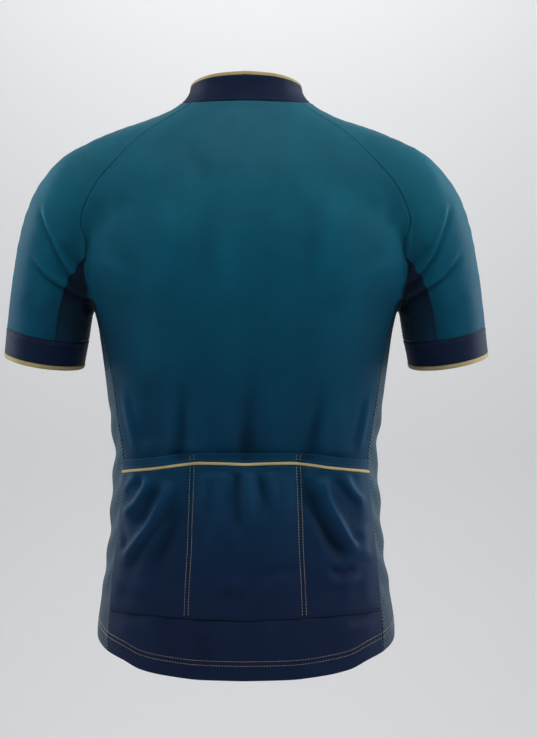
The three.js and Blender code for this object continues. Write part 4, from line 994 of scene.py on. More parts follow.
# the back, from the neck to the pocket seam, and its dropped hem
p, n, js = back_patch(0, ROW_HEM, STEP)
back_cloth, back_outer = finish_panel("back_cloth", p, n, "tlr", "")
p, n, js = back_patch(ROW_HEM, ROW_END, 2.4)
hem_gap = drop_to(p, "b")
hem_cloth, hem_outer = finish_panel("back_hem_cloth", p, n, "tlr", "b", extra=hem_relief(hem_gap))
hem_base = (p, n, hem_gap)

# the pocket layers: band at the mouths, piping, and the panel stitched in three
MAIN_BACK = ("body", "sleeve")
p, n, js = back_patch(ROW_BAND, ROW_TRIM, 1.4, False, False)
full, across = pocket_lift(js)
s = lengths(p, 0)
v = s / s[-1:]
roll = 0.45 * np.exp(-(s / 2.0) ** 2) - 0.35 * np.exp(-((s - 7.6) / 0.7) ** 2)
relief, gap = body_relief(p, n, MAIN_BACK, "lr")
band_outer = pull_back(p + n * (relief + roll + WALL + LAYER + full)[..., None], "lrb", SEAM)
band_cloth = shell("pocket_band_cloth", band_outer, n, 1.3, free="t", gap=gap, relief=relief)

p, n, js = back_patch(ROW_TRIM, ROW_POCKET, 0.5, False, False)
full, across = pocket_lift(js)
s = lengths(p, 0)
v = s / s[-1:]
relief, gap = body_relief(p, n, MAIN_BACK, "lr")
cord = 1.15 * np.sqrt(np.clip(4 * v * (1 - v), 0, 1))
piping_outer = pull_back(p + n * (relief + cord + WALL + LAYER + full)[..., None], "lrtb", SEAM)
piping_cloth = shell("pocket_piping_cloth", piping_outer, n, 1.3 + cord * 0.3, free="", gap=gap, relief=relief)

p, n, js = back_patch(ROW_POCKET, ROW_HEM, 2.6, True, True)
full, across = pocket_lift(js)
relief, gap = body_relief(p, n, MAIN_BACK, "tlr")
own = fold_relief(p, n, ("pocket",))
side_gap = edge_gap(p, "lr")
low_gap = drop_to(p, "b")
own = own * smooth(0, 9, side_gap) * smooth(0, 16, low_gap) * (0.62 + 0.38 * np.clip(across, 0, 1))
sag = 0.7 * ripples(p, "middle") * np.clip(across, 0, 1) * smooth(0, 20, low_gap)
lift = np.maximum(full + own + sag, -0.35 * (1 - np.exp(-np.maximum(full, 0))))
tuck = -1.5 * np.exp(-(low_gap / 2.4) ** 2) - 0.35 * np.exp(-((low_gap - 5.0) / 1.0) ** 2)
divider_columns = np.nonzero(np.abs(back_columns - 1 / 3) < 1e-6)[0]
along_rows = lengths(p, 1)
line_gap = np.min([np.abs(along_rows - along_rows[:, [k]]) for k in divider_columns], axis=0)
sewn = -0.45 * (np.exp(-((line_gap - 2.3) / 0.9) ** 2)) + 0.22 * np.exp(-(line_gap / 1.2) ** 2)
sewn = sewn + 0.35 * ripples(p, "fine") * np.exp(-line_gap / 6.0)
pocket_outer = pull_back(p + n * (relief + lift + tuck + sewn + WALL + LAYER)[..., None], "lrt", SEAM)
pocket_cloth = shell("pocket_panel_cloth", pocket_outer, n, WALL, free="b", gap=np.minimum(gap, line_gap), relief=own + 0.4 * sag)
pocket_base = (p, n, lengths(p, 1))

# fronts, mesh sides, sleeves: worked out on the left and mirrored
rows = shares_by_height(lambda j: float(front_middle_z(j)), 0, ROW_END, STEP, True, False)
cols = parts(58, 180, True, True)
fp, fj = front_grid(rows, cols)
fn = unit(slope_of(fp))



def refine(p, step):
    """More rows down a grid, evenly spaced but for those beside its ends."""
    s = lengths(p, 0).mean(1)
    share = parts(round(s[-1] / step), s[-1], True, True)
    at = np.interp(share * s[-1], s, np.arange(len(p)))
    return rail(p.reshape(len(p), -1), at).reshape(len(at), -1, 3)


sp, sj = side_grid(parts(130, 430, True, True), parts(22, 92, True, True))
sp = refine(sp, 0.95)
sn = unit(slope_of(sp))

up, um = sleeve_grid(parts(186, 345, True, True), parts(112, 200, True, True))
un = unit(slope_of(up))
wp, wm = under_grid(parts(44, 100, True, True), parts(44, 110, True, True))
wp = refine(wp, 0.95)
wn = unit(slope_of(wp))

stitch_lines = {"gold": [], "navy": [], "teal": []}
for side, make in (("left", lambda a: a), ("right", mirror)):
    p, n = make(fp), make(fn)
    low = drop_to(p, "b")
    edge = lengths(p, 1)
    placket = 0.25 * smooth(7.5, 5.5, edge) - 0.25 * np.exp(-((edge - 2.6) / 0.8) ** 2)
    extra = hem_relief(low) + placket
    front_cloth, front_outer = finish_panel(f"front_{side}_cloth", p, n, "tlr", "b", extra=extra)
    PIECES[f"front_{side}_grid"] = (p, n, low, edge, extra)

    p, n = make(sp), make(sn)
    low = drop_to(p, "b")
    down = lengths(p, 0)
    across = lengths(p, 1)
    ribs = 0.34 * np.sin(2 * math.pi * down / 4.2) * smooth(0.8, 3.0, edge_gap(p, "tlr")) * smooth(20, 25, low)
    sway = 1.3 * np.sin(2 * math.pi * down / 46.0 + (0.6 if side == "left" else 2.3)) * smooth(3, 14, edge_gap(p, "tlr"))
    sway = sway * smooth(40, 75, low) * smooth(300, 230, low)
    finish_panel(f"side_{side}_cloth", p, n, "tlr", "b", extra=hem_relief(low) + ribs + sway, chart=(across, down))
    PIECES[f"side_{side}_grid"] = (p, n, low, hem_relief(low))

    p, n = make(up), make(un)
    finish_panel(f"sleeve_{side}_cloth", p, n, "tblr", "")
    p, n = make(wp), make(wn)
    across, down = lengths(p, 1), lengths(p, 0)
    ribs = 0.34 * np.sin(2 * math.pi * down / 4.2) * smooth(0.8, 3.0, edge_gap(p, "tblr"))
    finish_panel(f"sleeve_under_{side}_cloth", p, n, "tblr", "", extra=ribs, chart=(across, down))

# cuffs, closed rings
CUFF_SIDES = 132
ring = np.linspace(0, 360, CUFF_SIDES, endpoint=False)
for part_name, s0, s1, count in (("cuff", CUFF_TOP, CUFF_TRIM, 18), ("cuff_edge", CUFF_TRIM, CUFF_END, 8)):
    places = lerp(s0, s1, parts(count, 27 if part_name == "cuff" else 4.6, part_name == "cuff", True))
    if part_name == "cuff_edge":
        places = np.linspace(s0, s1, 9)
    cp = sleeve_point(ring[None, :], places[:, None])
    cn = unit(slope_of(cp))
    for side, make in (("left", lambda a: a), ("right", mirror)):
        p, n = make(cp), make(cn)
        gap = np.minimum(lengths(p, 0), 1e3) if part_name == "cuff" else lengths(p, 0) + 9
        down = lengths(p, 0)
        total = down[-1:]
        relief = fold_relief(p, n, MAIN) + 0.42 * ripples(p, "broad") + 0.12 * ripples(p, "middle")
        if part_name == "cuff":
            relief = relief + seam_relief(down) + 0.14 * ripples(p, "pucker") * np.exp(-down / 6)
            relief = relief - 0.3 * np.exp(-((down - total + 0.2) / 0.7) ** 2) + 0.2 * smooth(0, 3, down)
        else:
            v = down / total
            relief = relief + 0.2 + 0.5 * np.sqrt(np.clip(4 * (v * 0.85 + 0.1) * (1 - (v * 0.85 + 0.1)), 0, 1))
        outer = pull_back(p + n * relief[..., None], "tb" if part_name == "cuff" else "t", SEAM)
        shell(f"{part_name}_{side}_cloth", outer, n, RIB_WALL, free="" if part_name == "cuff" else "b",
              closed=True, gap=np.minimum(down, total - down), relief=relief)
        if part_name == "cuff":
            PIECES[f"cuff_{side}_grid"] = (outer, n, down)

# collar and its piping
base_line = neck_line(84)
rim_share = 1 - EDGE_TOP / 34
t_rows = parts(13, 31, True, True) * rim_share
cp = np.stack([collar_at(base_line, t) for t in t_rows])
cn = collar_out(cp)
down = lengths(cp, 0)
gap = np.minimum(down, down[-1:] - down)
ends = np.minimum(lengths(cp, 1), lengths(cp, 1)[:, -1:] - lengths(cp, 1))
relief = 0.5 * np.sin(np.pi * np.clip(down / down[-1:], 0, 1)) + 0.26 * ripples(cp, "broad") + 0.20 * ripples(cp, "middle")
relief = relief + seam_relief(gap) + 0.12 * ripples(cp, "pucker") * np.exp(-gap / 5) - 0.22 * np.exp(-((down - 3.2) / 0.8) ** 2)
collar_outer = pull_back(cp + cn * relief[..., None], "blr", SEAM)
collar_outer[0, :, 2] -= 0.4
collar_cloth = shell("collar_cloth", collar_outer, cn, COLLAR_WALL, free="lr", gap=gap, relief=relief)
ep = np.stack([collar_at(base_line, t) for t in np.linspace(rim_share, 1, 6)])
en = collar_out(ep)
relief = 0.26 * ripples(ep, "broad") + 0.20 * ripples(ep, "middle") + 0.15
edge_outer = pull_back(ep + en * relief[..., None], "tlr", SEAM)
shell("collar_edge_cloth", edge_outer, en, COLLAR_WALL, free="b", gap=np.full(relief.shape, 9.0), relief=relief)


# ---------------------------------------------------------------- stitching
def path_at(p, n, gap, offset, axis=0):
    """A line at a distance from a panel's edge, across all its columns (axis 0) or rows (axis 1)."""
    if axis == 1:
        p, n, gap = p.transpose(1, 0, 2), n.transpose(1, 0, 2), gap.T
    pts, nrm = [], []
    for c in range(p.shape[1]):
        g = gap[:, c]
        order = np.argsort(g)
        if g.max() < offset:
            continue
        pts.append([np.interp(offset, g[order], p[order, c, k]) for k in range(3)])
        nrm.append([np.interp(offset, g[order], n[order, c, k]) for k in range(3)])
    return np.array(pts), unit(np.array(nrm))


def thread(name, lines, length=2.4, space=0.75, radius=0.24, sides=5, seed=5, out=0.06):
    """Stitches laid along lines of points, each a short bar with its ends pulled into the cloth."""
    g = np.random.default_rng(seed)
    verts, quads, tris, base = [], [], [], 0
    along = np.array([-0.5, -0.26, 0.26, 0.5])
    thick = np.array([0.4, 1.0, 1.0, 0.4])
    raise_ = np.array([-0.75, 0.30, 0.30, -0.75])
    th = np.arange(sides) * 2 * math.pi / sides
    for pts, nrm in lines:
        s = np.concatenate([[0], np.cumsum(np.linalg.norm(np.diff(pts, axis=0), axis=1))])
        pitch = length + space
        count = int((s[-1] - 1.0) / pitch)
        if count < 1:
            continue
        c = 0.5 + length / 2 + np.arange(count) * pitch + (s[-1] - 1 - count * pitch) / 2
        ell = length * (1 + g.uniform(-0.07, 0.07, count))
        pos = lambda q: np.stack([np.interp(q, s, pts[:, k]) for k in range(3)], -1)
        nn = unit(np.stack([np.interp(c, s, nrm[:, k]) for k in range(3)], -1))
        a, b = pos(c - ell / 2), pos(c + ell / 2)
        t = unit(b - a)
        nn = unit(nn - (nn * t).sum(-1, keepdims=True) * t)
        side = np.cross(t, nn)
        mid = pos(c) + side * g.uniform(-0.07, 0.07, count)[:, None]
        ring = (mid[:, None, None] + t[:, None, None] * (along[None, :, None, None] * ell[:, None, None, None])
                + nn[:, None, None] * ((raise_[:, None] + np.sin(th)[None] * thick[:, None]) * radius + out)[None, ..., None]
                + side[:, None, None] * (np.cos(th)[None] * thick[:, None] * radius)[None, ..., None])
        verts.append(ring.reshape(-1, 3))
        one = []
        for r in range(3):
            for k in range(sides):
                m = (k + 1) % sides
                one.append([r * sides + k, r * sides + m, (r + 1) * sides + m, (r + 1) * sides + k])
        one += [[3, 2, 1, 0], [3 * sides, 3 * sides + 1, 3 * sides + 2, 3 * sides + 3]]
        cap = [[4, 3, 0], [3 * sides, 3 * sides + 3, 3 * sides + 4]]
        off = base + np.arange(count)[:, None, None] * 4 * sides
        quads.append((np.array(one)[None] + off).reshape(-1, 4))
        tris.append((np.array(cap)[None] + off).reshape(-1, 3))
        base += count * 4 * sides
    v = np.concatenate(verts)
    return build(name, v, np.concatenate(quads)[:, ::-1], np.concatenate(tris)[:, ::-1], cloth=v, relief=np.zeros(len(v)), sharp=80)


# pocket lines, two beside each divider, from the piping to the pocket seam
pp, pn, pacross = pocket_base
for index in divider_columns:
    at = pacross - pacross[:, [index]]
    for offset in (-2.3, 2.3):
        pts, nrm = path_at(pocket_outer[:-2], pn[:-2], at[:-2], offset, 1)
        stitch_lines["gold"].append((pts, nrm))
bp, bn, bgap = hem_base
for offset in (16.5, 21.5):
    pts, nrm = path_at(hem_outer, bn, bgap, offset)
    stitch_lines["gold"].append((pts, nrm))
for side in ("left", "right"):
    p, n, low, edge, extra = PIECES.pop(f"front_{side}_grid")
    relief, _ = body_relief(p, n, MAIN, "tlr")
    outer = p + n * (relief + extra)[..., None]
    for offset in (16.5, 21.5):
        stitch_lines["gold"].append(path_at(outer, n, low, offset))
    stitch_lines["navy"].append(path_at(outer[4:-2], n[4:-2], edge[4:-2], 2.6, 1))
    p, n, low, extra = PIECES.pop(f"side_{side}_grid")
    relief, _ = body_relief(p, n, MAIN, "tlr")
    outer = p + n * (relief + extra)[..., None]
    for offset in (16.5, 21.5):
        stitch_lines["gold"].append(path_at(outer, n, low, offset))
    outer, n, down = PIECES.pop(f"cuff_{side}_grid")
    o = np.concatenate([outer, outer[:, :1]], 1)
    nn = np.concatenate([n, n[:, :1]], 1)
    d = np.concatenate([down, down[:, :1]], 1)
    for offset in (2.2, 4.6):
        stitch_lines["navy"].append(path_at(o, nn, d, offset))
stitch_lines["navy"].append(path_at(collar_outer, cn, lengths(cp, 0), 3.2))
band_normal = back_patch(ROW_BAND, ROW_TRIM, 1.4, False, False)[1]
band_across, band_down = lengths(band_outer, 1), lengths(band_outer, 0)
for index in divider_columns:
    at = band_across - band_across[:, [index]]
    for offset in (-2.3, 2.3):
        stitch_lines["gold"].append(path_at(band_outer, band_normal, at, offset, 1))
stitch_lines["teal"].append(path_at(band_outer, band_normal, band_down, 7.4))
gold_thread = thread("gold_stitching", stitch_lines["gold"], 2.5, 0.9, 0.25)
navy_thread = thread("navy_stitching", stitch_lines["navy"], 2.3, 0.8, 0.20)
teal_thread = thread("band_stitching", stitch_lines["teal"], 2.4, 0.8, 0.18)

# ---------------------------------------------------------------- zip
zz = np.linspace(float(hem(-90)) + 1.5, -48.2, 300)
line = zip_point(zz)
line[:, 0] = 0
foot = neck_line(84)[0]
rise = np.stack([collar_at(foot, t) for t in np.linspace(0.02, ZIP_END, 20)])
rise[:, 0] = 0
line = np.concatenate([line, rise])
tangent = unit(np.gradient(line, axis=0))
face = unit(np.cross(tangent, [1.0, 0, 0]))
face = face * np.where(face[:, 1:2] > 0, -1, 1)
on_body = (line[:, 2] < -49)
lift = np.where(on_body, fold_relief(line, face, MAIN) + 0.42 * ripples(line, "broad") + 0.16 * ripples(line, "middle"), 0.26 * ripples(line, "broad"))
line = line + face * lift[:, None]
s = np.concatenate([[0], np.cumsum(np.linalg.norm(np.diff(line, axis=0), axis=1))])
fine = np.linspace(0, s[-1], int(s[-1] / 1.9))
tape_p = np.stack([np.interp(fine, s, line[:, k]) for k in range(3)], -1)
tape_n = unit(np.stack([np.interp(fine, s, face[:, k]) for k in range(3)], -1))
for side, sign in (("left", 1), ("right", -1)):
    xs = np.array([0.25, 0.8, 1.5, 2.2, 2.75, ZIP_HALF - 0.12]) * sign
    grid_p = tape_p[:, None] + np.array([1.0, 0, 0]) * xs[None, :, None]
    ridge = np.array([-0.5, -0.5, -0.35, -0.1, 0.05, -0.05])[None] + 0.07 * np.sin(fine * 2 * math.pi / 3.8)[:, None]
    grid_n = np.broadcast_to(tape_n[:, None], grid_p.shape)
    shell(f"zip_tape_{side}", grid_p + grid_n * ridge[..., None], grid_n, 0.9)
teeth = []
pitch = 1.3
at = np.arange(2.0, s[-1] - 1.0, pitch)
verts, quads, base = [], [], 0
prof = [(-0.42, 0.30), (-0.18, 0.52), (1.1, 0.50), (1.95, 0.34), (2.15, 0.18)]
k8 = np.arange(6) * math.pi / 3
for side, sign, shift in (("left", 1, 0.0), ("right", -1, pitch / 2)):
    q = at + shift
    q = q[q < s[-1] - 0.6]
    c = np.stack([np.interp(q, s, line[:, k]) for k in range(3)], -1)
    nn = unit(np.stack([np.interp(q, s, face[:, k]) for k in range(3)], -1))
    tt = unit(np.cross([1.0, 0, 0], nn))
    rings = []
    for x, r in prof:
        rings.append(c[:, None] + np.array([sign * x, 0, 0]) + nn[:, None] * (0.12 + 0.52 * r / 0.5 * np.sin(k8))[None, :, None]
                     + tt[:, None] * (min(r, 0.34) * np.cos(k8))[None, :, None])
    v = np.stack(rings, 1)
    verts.append(v.reshape(-1, 3))
    one = [[r * 6 + k, r * 6 + (k + 1) % 6, (r + 1) * 6 + (k + 1) % 6, (r + 1) * 6 + k] for r in range(4) for k in range(6)]
    one += [[3, 2, 1, 0], [5, 4, 3, 0], [24, 25, 26, 27], [24, 27, 28, 29]]
    one = np.array(one)
    if sign > 0:
        one = one[:, ::-1]
    quads.append((one[None] + (base + np.arange(len(q)) * 30)[:, None, None]).reshape(-1, 4))
    base += len(q) * 30
v = np.concatenate(verts)
zip_teeth = build("zip_teeth", v, np.concatenate(quads), cloth=v, relief=np.zeros(len(v)), sharp=60)


# ---------------------------------------------------------------- finishes
def lin(r, g, b):
    f = lambda c: c / 12.92 if c <= 0.04045 else ((c + 0.055) / 1.055) ** 2.4
    return (f(r / 255), f(g / 255), f(b / 255), 1)


class Finish:
    """A node material put together step by step."""

    def __init__(self, name):
        self.mat = bpy.data.materials.new(name)
        self.mat.use_nodes = True
        self.tree = self.mat.node_tree
        self.tree.nodes.clear()
        self.out = self.add("ShaderNodeOutputMaterial")
        self.skin = self.add("ShaderNodeBsdfPrincipled")
        self.tree.links.new(self.skin.outputs[0], self.out.inputs["Surface"])

    def add(self, kind, **props):
        node = self.tree.nodes.new(kind)
        for k, v in props.items():
            setattr(node, k, v)
        return node

    def put(self, node, socket, value):
        if isinstance(value, bpy.types.NodeSocket):
            self.tree.links.new(value, node.inputs[socket])
        else:
            node.inputs[socket].default_value = value

    def math(self, op, *values, clamp=False):
        node = self.add("ShaderNodeMath", operation=op, use_clamp=clamp)
        for k, v in enumerate(values):
            self.put(node, k, v)
        return node.outputs[0]

    def remap(self, value, a, b, c=0.0, d=1.0, soft=False):
        node = self.add("ShaderNodeMapRange", clamp=True)
        if soft:
            node.interpolation_type = "SMOOTHSTEP"
        for k, v in enumerate((value, a, b, c, d)):
            self.put(node, k, v)
        return node.outputs[0]

    def noise(self, vector, scale, detail=2.0, rough=0.5):
        node = self.add("ShaderNodeTexNoise")
        self.put(node, "Vector", vector)
        self.put(node, "Scale", scale)
        self.put(node, "Detail", detail)
        self.put(node, "Roughness", rough)
        return node.outputs["Fac"]

    def ramp(self, value, stops):
        node = self.add("ShaderNodeValToRGB")
        self.put(node, "Fac", value)
        e = node.color_ramp.elements
        while len(e) < len(stops):
            e.new(0.5)
        for k, (at, colour) in enumerate(stops):
            e[k].position = at
            e[k].color = colour
        return node.outputs["Color"]

    def mix(self, share, a, b, how="MIX"):
        node = self.add("ShaderNodeMix", data_type="RGBA", blend_type=how)
        ins = [s for s in node.inputs if s.enabled]
        for s, v in zip(ins, (share, a, b)):
            if isinstance(v, bpy.types.NodeSocket):
                self.tree.links.new(v, s)
            else:
                s.default_value = v
        return [s for s in node.outputs if s.enabled][0]

    def attribute(self, name):
        return self.add("ShaderNodeAttribute", attribute_name=name)

    def place(self):
        """Object coordinates, in millimetres."""
        coord = self.add("ShaderNodeTexCoord")
        node = self.add("ShaderNodeVectorMath", operation="SCALE")
        self.put(node, 0, coord.outputs["Object"])
        self.put(node, "Scale", 1000.0)
        split = self.add("ShaderNodeSeparateXYZ")
        self.put(split, 0, node.outputs[0])
        return node.outputs[0], split.outputs

    def chart(self):
        split = self.add("ShaderNodeSeparateXYZ")
        self.put(split, 0, self.attribute("cloth").outputs["Vector"])
        return split.outputs

    def bump(self, height, distance, strength=1.0, before=None):
        node = self.add("ShaderNodeBump")
        self.put(node, "Height", height)
        self.put(node, "Distance", distance)
        self.put(node, "Strength", strength)
        if before is not None:
            self.put(node, "Normal", before)
        return node.outputs[0]

    def skin_values(self, **values):
        for k, v in values.items():
            self.put(self.skin, k.replace("_", " "), v)
        return self.mat


def knit_height(m, u, v, pitch):
    """Columns of small loops: a wale every `pitch` mm, loops a little closer."""
    a = m.math("SINE", m.math("MULTIPLY", u, 2 * math.pi / pitch))
    slant = m.math("MULTIPLY", m.math("ABSOLUTE", a), 1.9)
    b = m.math("SINE", m.math("ADD", m.math("MULTIPLY", v, 2 * math.pi / (pitch * 0.8)), slant))
    return m.math("ADD", m.math("MULTIPLY", m.math("ABSOLUTE", a), 0.6), m.math("MULTIPLY", b, 0.4))


BODY_SHADE = [(-650, lin(26, 42, 74)), (-596, lin(27, 43, 75)), (-545, lin(22, 46, 80)), (-485, lin(17, 54, 87)),
              (-440, lin(14, 63, 96)), (-380, lin(12, 68, 100)), (-290, lin(10, 82, 111)), (-190, lin(12, 94, 121)),
              (-110, lin(23, 104, 127)), (-20, lin(40, 110, 131))]


def shaded(m, z, stops, low=-660.0, high=0.0):
    share = m.remap(z, low, high)
    return m.ramp(share, [((h - low) / (high - low), c) for h, c in stops])


def painted_armpit_shade(m, axis):
    """Painted shade: colour darkened round each armpit, where the sleeve hangs close to the side."""
    across = m.math("SUBTRACT", m.math("ABSOLUTE", axis[0]), 182.0)
    up = m.math("MULTIPLY", m.math("ADD", axis[2], 290.0), 0.62)
    far = m.math("SQRT", m.math("ADD", m.math("MULTIPLY", across, across), m.math("MULTIPLY", up, up)))
    return m.ramp(m.remap(far, 6.0, 66.0), [(0.0, (0.26, 0.28, 0.32, 1)), (0.45, (0.66, 0.68, 0.71, 1)), (1.0, (1, 1, 1, 1))])


def jersey_cloth(name, stops, seam_dark=0.66, grain=0.06, sheen=0.03):
    m = Finish(name)
    where, axis = m.place()
    u, v, gap = m.chart()
    colour = shaded(m, m.math("ADD", axis[2], m.math("MULTIPLY", m.math("SUBTRACT", m.noise(where, 0.010, 1.5), 0.5), 30.0)), stops)
    patches = m.noise(where, 0.022, 4.0, 0.55)
    colour = m.mix(1.0, colour, m.ramp(patches, [(0.30, (0.92, 0.92, 0.93, 1)), (0.70, (1.07, 1.07, 1.06, 1))]), "MULTIPLY")
    specks = m.noise(where, 0.9, 2.0, 0.6)
    colour = m.mix(grain, colour, m.ramp(specks, [(0.35, (0, 0, 0, 1)), (0.65, (1, 1, 1, 1))]), "OVERLAY")
    # Painted shade and highlight: the colour darkens in fold troughs and lightens on fold ridges, following the cloth's
    # relief.
    relief = m.attribute("relief").outputs["Fac"]
    height = m.ramp(m.remap(relief, -6.0, 4.0), [(0.0, (0.50, 0.50, 0.52, 1)), (0.30, (0.78, 0.78, 0.79, 1)), (0.57, (0.985, 0.985, 0.985, 1)),
                                                 (0.66, (1.02, 1.02, 1.02, 1)), (1.0, (1.30, 1.30, 1.29, 1))])
    colour = m.mix(1.0, colour, height, "MULTIPLY")
    # Painted shade round the armpits.
    colour = m.mix(1.0, colour, painted_armpit_shade(m, axis), "MULTIPLY")
    line = m.remap(gap, 0.35, 1.25, seam_dark, 1.0, True)
    tone = m.add("ShaderNodeCombineXYZ")
    for k in range(3):
        m.put(tone, k, line)
    colour = m.mix(1.0, colour, tone.outputs[0], "MULTIPLY")
    knit = knit_height(m, u, v, 0.95)
    fuzz = m.noise(where, 0.55, 3.0, 0.6)
    first = m.bump(fuzz, 0.00022, 0.35)
    normal = m.bump(knit, 0.00006, 0.5, first)
    m.skin_values(Base_Color=colour, Normal=normal, Roughness=m.remap(patches, 0.3, 0.7, 0.54, 0.64),
                  Sheen_Weight=sheen, Sheen_Roughness=0.42, Sheen_Tint=(0.55, 0.80, 0.86, 1))
    m.put(m.skin, "Specular IOR Level", 0.09)
    return m.mat


def mesh_cloth(name):
    m = Finish(name)
    where, axis = m.place()
    u, v, gap = m.chart()
    # Colour by height: the print's ombre turns navy towards the hem; above -300 mm the colour darkens towards the
    # armpit as painted shade.
    colour = shaded(m, axis[2], [(-650, lin(25, 44, 70)), (-560, lin(29, 58, 82)), (-470, lin(29, 68, 90)),
                                 (-350, lin(19, 72, 94)), (-300, lin(9, 76, 102)), (-262, lin(6, 58, 84)), (-225, lin(4, 34, 60))])
    zig = m.math("ABSOLUTE", m.math("SUBTRACT", m.math("FRACT", m.math("DIVIDE", u, 2.6)), 0.5))
    wave = m.math("SINE", m.math("MULTIPLY", m.math("ADD", v, m.math("MULTIPLY", zig, 0.9)), 2 * math.pi / 4.2))
    hole = m.math("SINE", m.math("MULTIPLY", u, 2 * math.pi / 1.3))
    dots = m.remap(m.math("ADD", wave, m.math("MULTIPLY", hole, 0.25)), -0.9, 0.7, 0.0, 1.0, True)
    colour = m.mix(dots, m.mix(1.0, colour, (0.30, 0.35, 0.40, 1), "MULTIPLY"), m.mix(1.0, colour, (1.70, 1.62, 1.56, 1), "MULTIPLY"))
    line = m.remap(gap, 0.35, 1.6, 0.35, 1.0, True)
    tone = m.add("ShaderNodeCombineXYZ")
    for k in range(3):
        m.put(tone, k, line)
    colour = m.mix(1.0, colour, tone.outputs[0], "MULTIPLY")
    patches = m.noise(where, 0.03, 3.0)
    colour = m.mix(1.0, colour, m.ramp(patches, [(0.3, (0.9, 0.9, 0.9, 1)), (0.7, (1.1, 1.1, 1.1, 1))]), "MULTIPLY")
    # Painted shade round the armpits.
    colour = m.mix(1.0, colour, painted_armpit_shade(m, axis), "MULTIPLY")
    normal = m.bump(dots, 0.00035, 0.8)
    m.skin_values(Base_Color=colour, Normal=normal, Roughness=0.55, Sheen_Weight=0.18, Sheen_Roughness=0.4,
                  Sheen_Tint=(0.6, 0.8, 0.86, 1))
    m.put(m.skin, "Specular IOR Level", 0.18)
    return m.mat


def plain_cloth(name, colour, pitch, sheen, rough=0.6, distance=0.00016, slant=0.5, seam_dark=0.5):
    m = Finish(name)
    where, axis = m.place()
    u, v, gap = m.chart()
    patches = m.noise(where, 0.035, 3.0)
    shade = m.mix(1.0, colour, m.ramp(patches, [(0.3, (0.88, 0.88, 0.9, 1)), (0.7, (1.12, 1.12, 1.1, 1))]), "MULTIPLY")
    rib = m.math("SINE", m.math("MULTIPLY", m.math("ADD", m.math("MULTIPLY", u, slant), v), 2 * math.pi / pitch))
    cross = m.math("SINE", m.math("MULTIPLY", u, 2 * math.pi / (pitch * 1.1)))
    height = m.math("ADD", m.math("MULTIPLY", rib, 0.5), m.math("MULTIPLY", cross, 0.3))
    shade = m.mix(m.remap(height, -0.8, 0.8, 0.0, 0.12), shade, (0, 0, 0, 1))
    line = m.remap(gap, 0.3, 1.1, seam_dark, 1.0, True)
    tone = m.add("ShaderNodeCombineXYZ")
    for k in range(3):
        m.put(tone, k, line)
    shade = m.mix(1.0, shade, tone.outputs[0], "MULTIPLY")
    m.skin_values(Base_Color=shade, Normal=m.bump(height, distance, 0.6), Roughness=rough,
                  Sheen_Weight=sheen, Sheen_Roughness=0.45, Sheen_Tint=(0.7, 0.8, 0.95, 1))
    m.put(m.skin, "Specular IOR Level", 0.15)
    return m.mat


def thread_finish(name, colour, rough=0.55):
    m = Finish(name)
    where, axis = m.place()
    twist = m.math("SINE", m.math("MULTIPLY", m.math("ADD", m.math("ADD", axis[0], axis[2]), axis[1]), 2 * math.pi / 0.5))
    fade = m.noise(where, 0.06, 2.0)
    shade = m.mix(1.0, colour, m.ramp(fade, [(0.3, (0.72, 0.72, 0.72, 1)), (0.7, (1.15, 1.15, 1.12, 1))]), "MULTIPLY")
    m.skin_values(Base_Color=shade, Normal=m.bump(twist, 0.00006, 0.5), Roughness=rough, Sheen_Weight=0.1)
    return m.mat


def hard_finish(name, colour, metal, rough, scratch=0.08):
    m = Finish(name)
    where, axis = m.place()
    spots = m.noise(where, 0.35, 4.0, 0.6)
    fine = m.noise(where, 3.5, 2.0, 0.7)
    shade = m.mix(m.remap(spots, 0.35, 0.75, 0.0, 0.22), colour, tuple(min(1, c * 1.7) for c in colour[:3]) + (1,))
    m.skin_values(Base_Color=shade, Metallic=metal, Roughness=m.remap(spots, 0.3, 0.7, rough - scratch, rough + scratch),
                  Normal=m.bump(fine, 0.00003, 0.5))
    return m.mat


body_cloth = jersey_cloth("shaded_knit", BODY_SHADE)
side_cloth = mesh_cloth("rib_mesh")
navy_cloth = plain_cloth("navy_rib", lin(14, 34, 68), 1.5, 0.06)
gold_cloth = plain_cloth("gold_piping", lin(214, 196, 142), 1.1, 0.08, 0.5, 0.00022, 0.9, 0.8)
gold_yarn = thread_finish("gold_thread", lin(206, 192, 150))
navy_yarn = thread_finish("navy_thread", lin(34, 52, 88))
teal_yarn = thread_finish("teal_thread", lin(34, 92, 110))
tape_finish = plain_cloth("zip_tape", lin(18, 26, 48), 1.0, 0.1, 0.6, 0.0002, 0.0, 1.0)
tooth_finish = hard_finish("zip_nylon", lin(20, 28, 50), 0.0, 0.36)
metal_finish = hard_finish("dark_metal", lin(88, 90, 94), 1.0, 0.34)


# ---------------------------------------------------------------- pieces in the frame
def dress(name, finish, node=None, body="garment"):
    obj = PIECES[name]
    obj.data.materials.clear()
    obj.data.materials.append(finish)
    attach(obj, body)
    if node:
        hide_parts(node)
    return obj


dress("back_cloth", body_cloth, "back")
dress("back_hem_cloth", body_cloth, "back_hem")
dress("pocket_band_cloth", body_cloth, "pocket_band")
dress("pocket_piping_cloth", gold_cloth, "pocket_piping")
dress("pocket_panel_cloth", body_cloth, "pocket_panel")
dress("collar_cloth", navy_cloth, "collar")
dress("collar_edge_cloth", gold_cloth, "collar_edge")
for side in ("left", "right"):
    dress(f"front_{side}_cloth", body_cloth, f"front_{side}")
    dress(f"side_{side}_cloth", side_cloth, f"side_{side}")
    dress(f"sleeve_{side}_cloth", body_cloth, f"sleeve_{side}")
    dress(f"sleeve_under_{side}_cloth", side_cloth, f"sleeve_under_{side}")
    dress(f"cuff_{side}_cloth", navy_cloth, f"cuff_{side}")
    dress(f"cuff_edge_{side}_cloth", gold_cloth, f"cuff_edge_{side}")
dress("zip_tape_left", tape_finish, "zip")
dress("zip_tape_right", tape_finish)
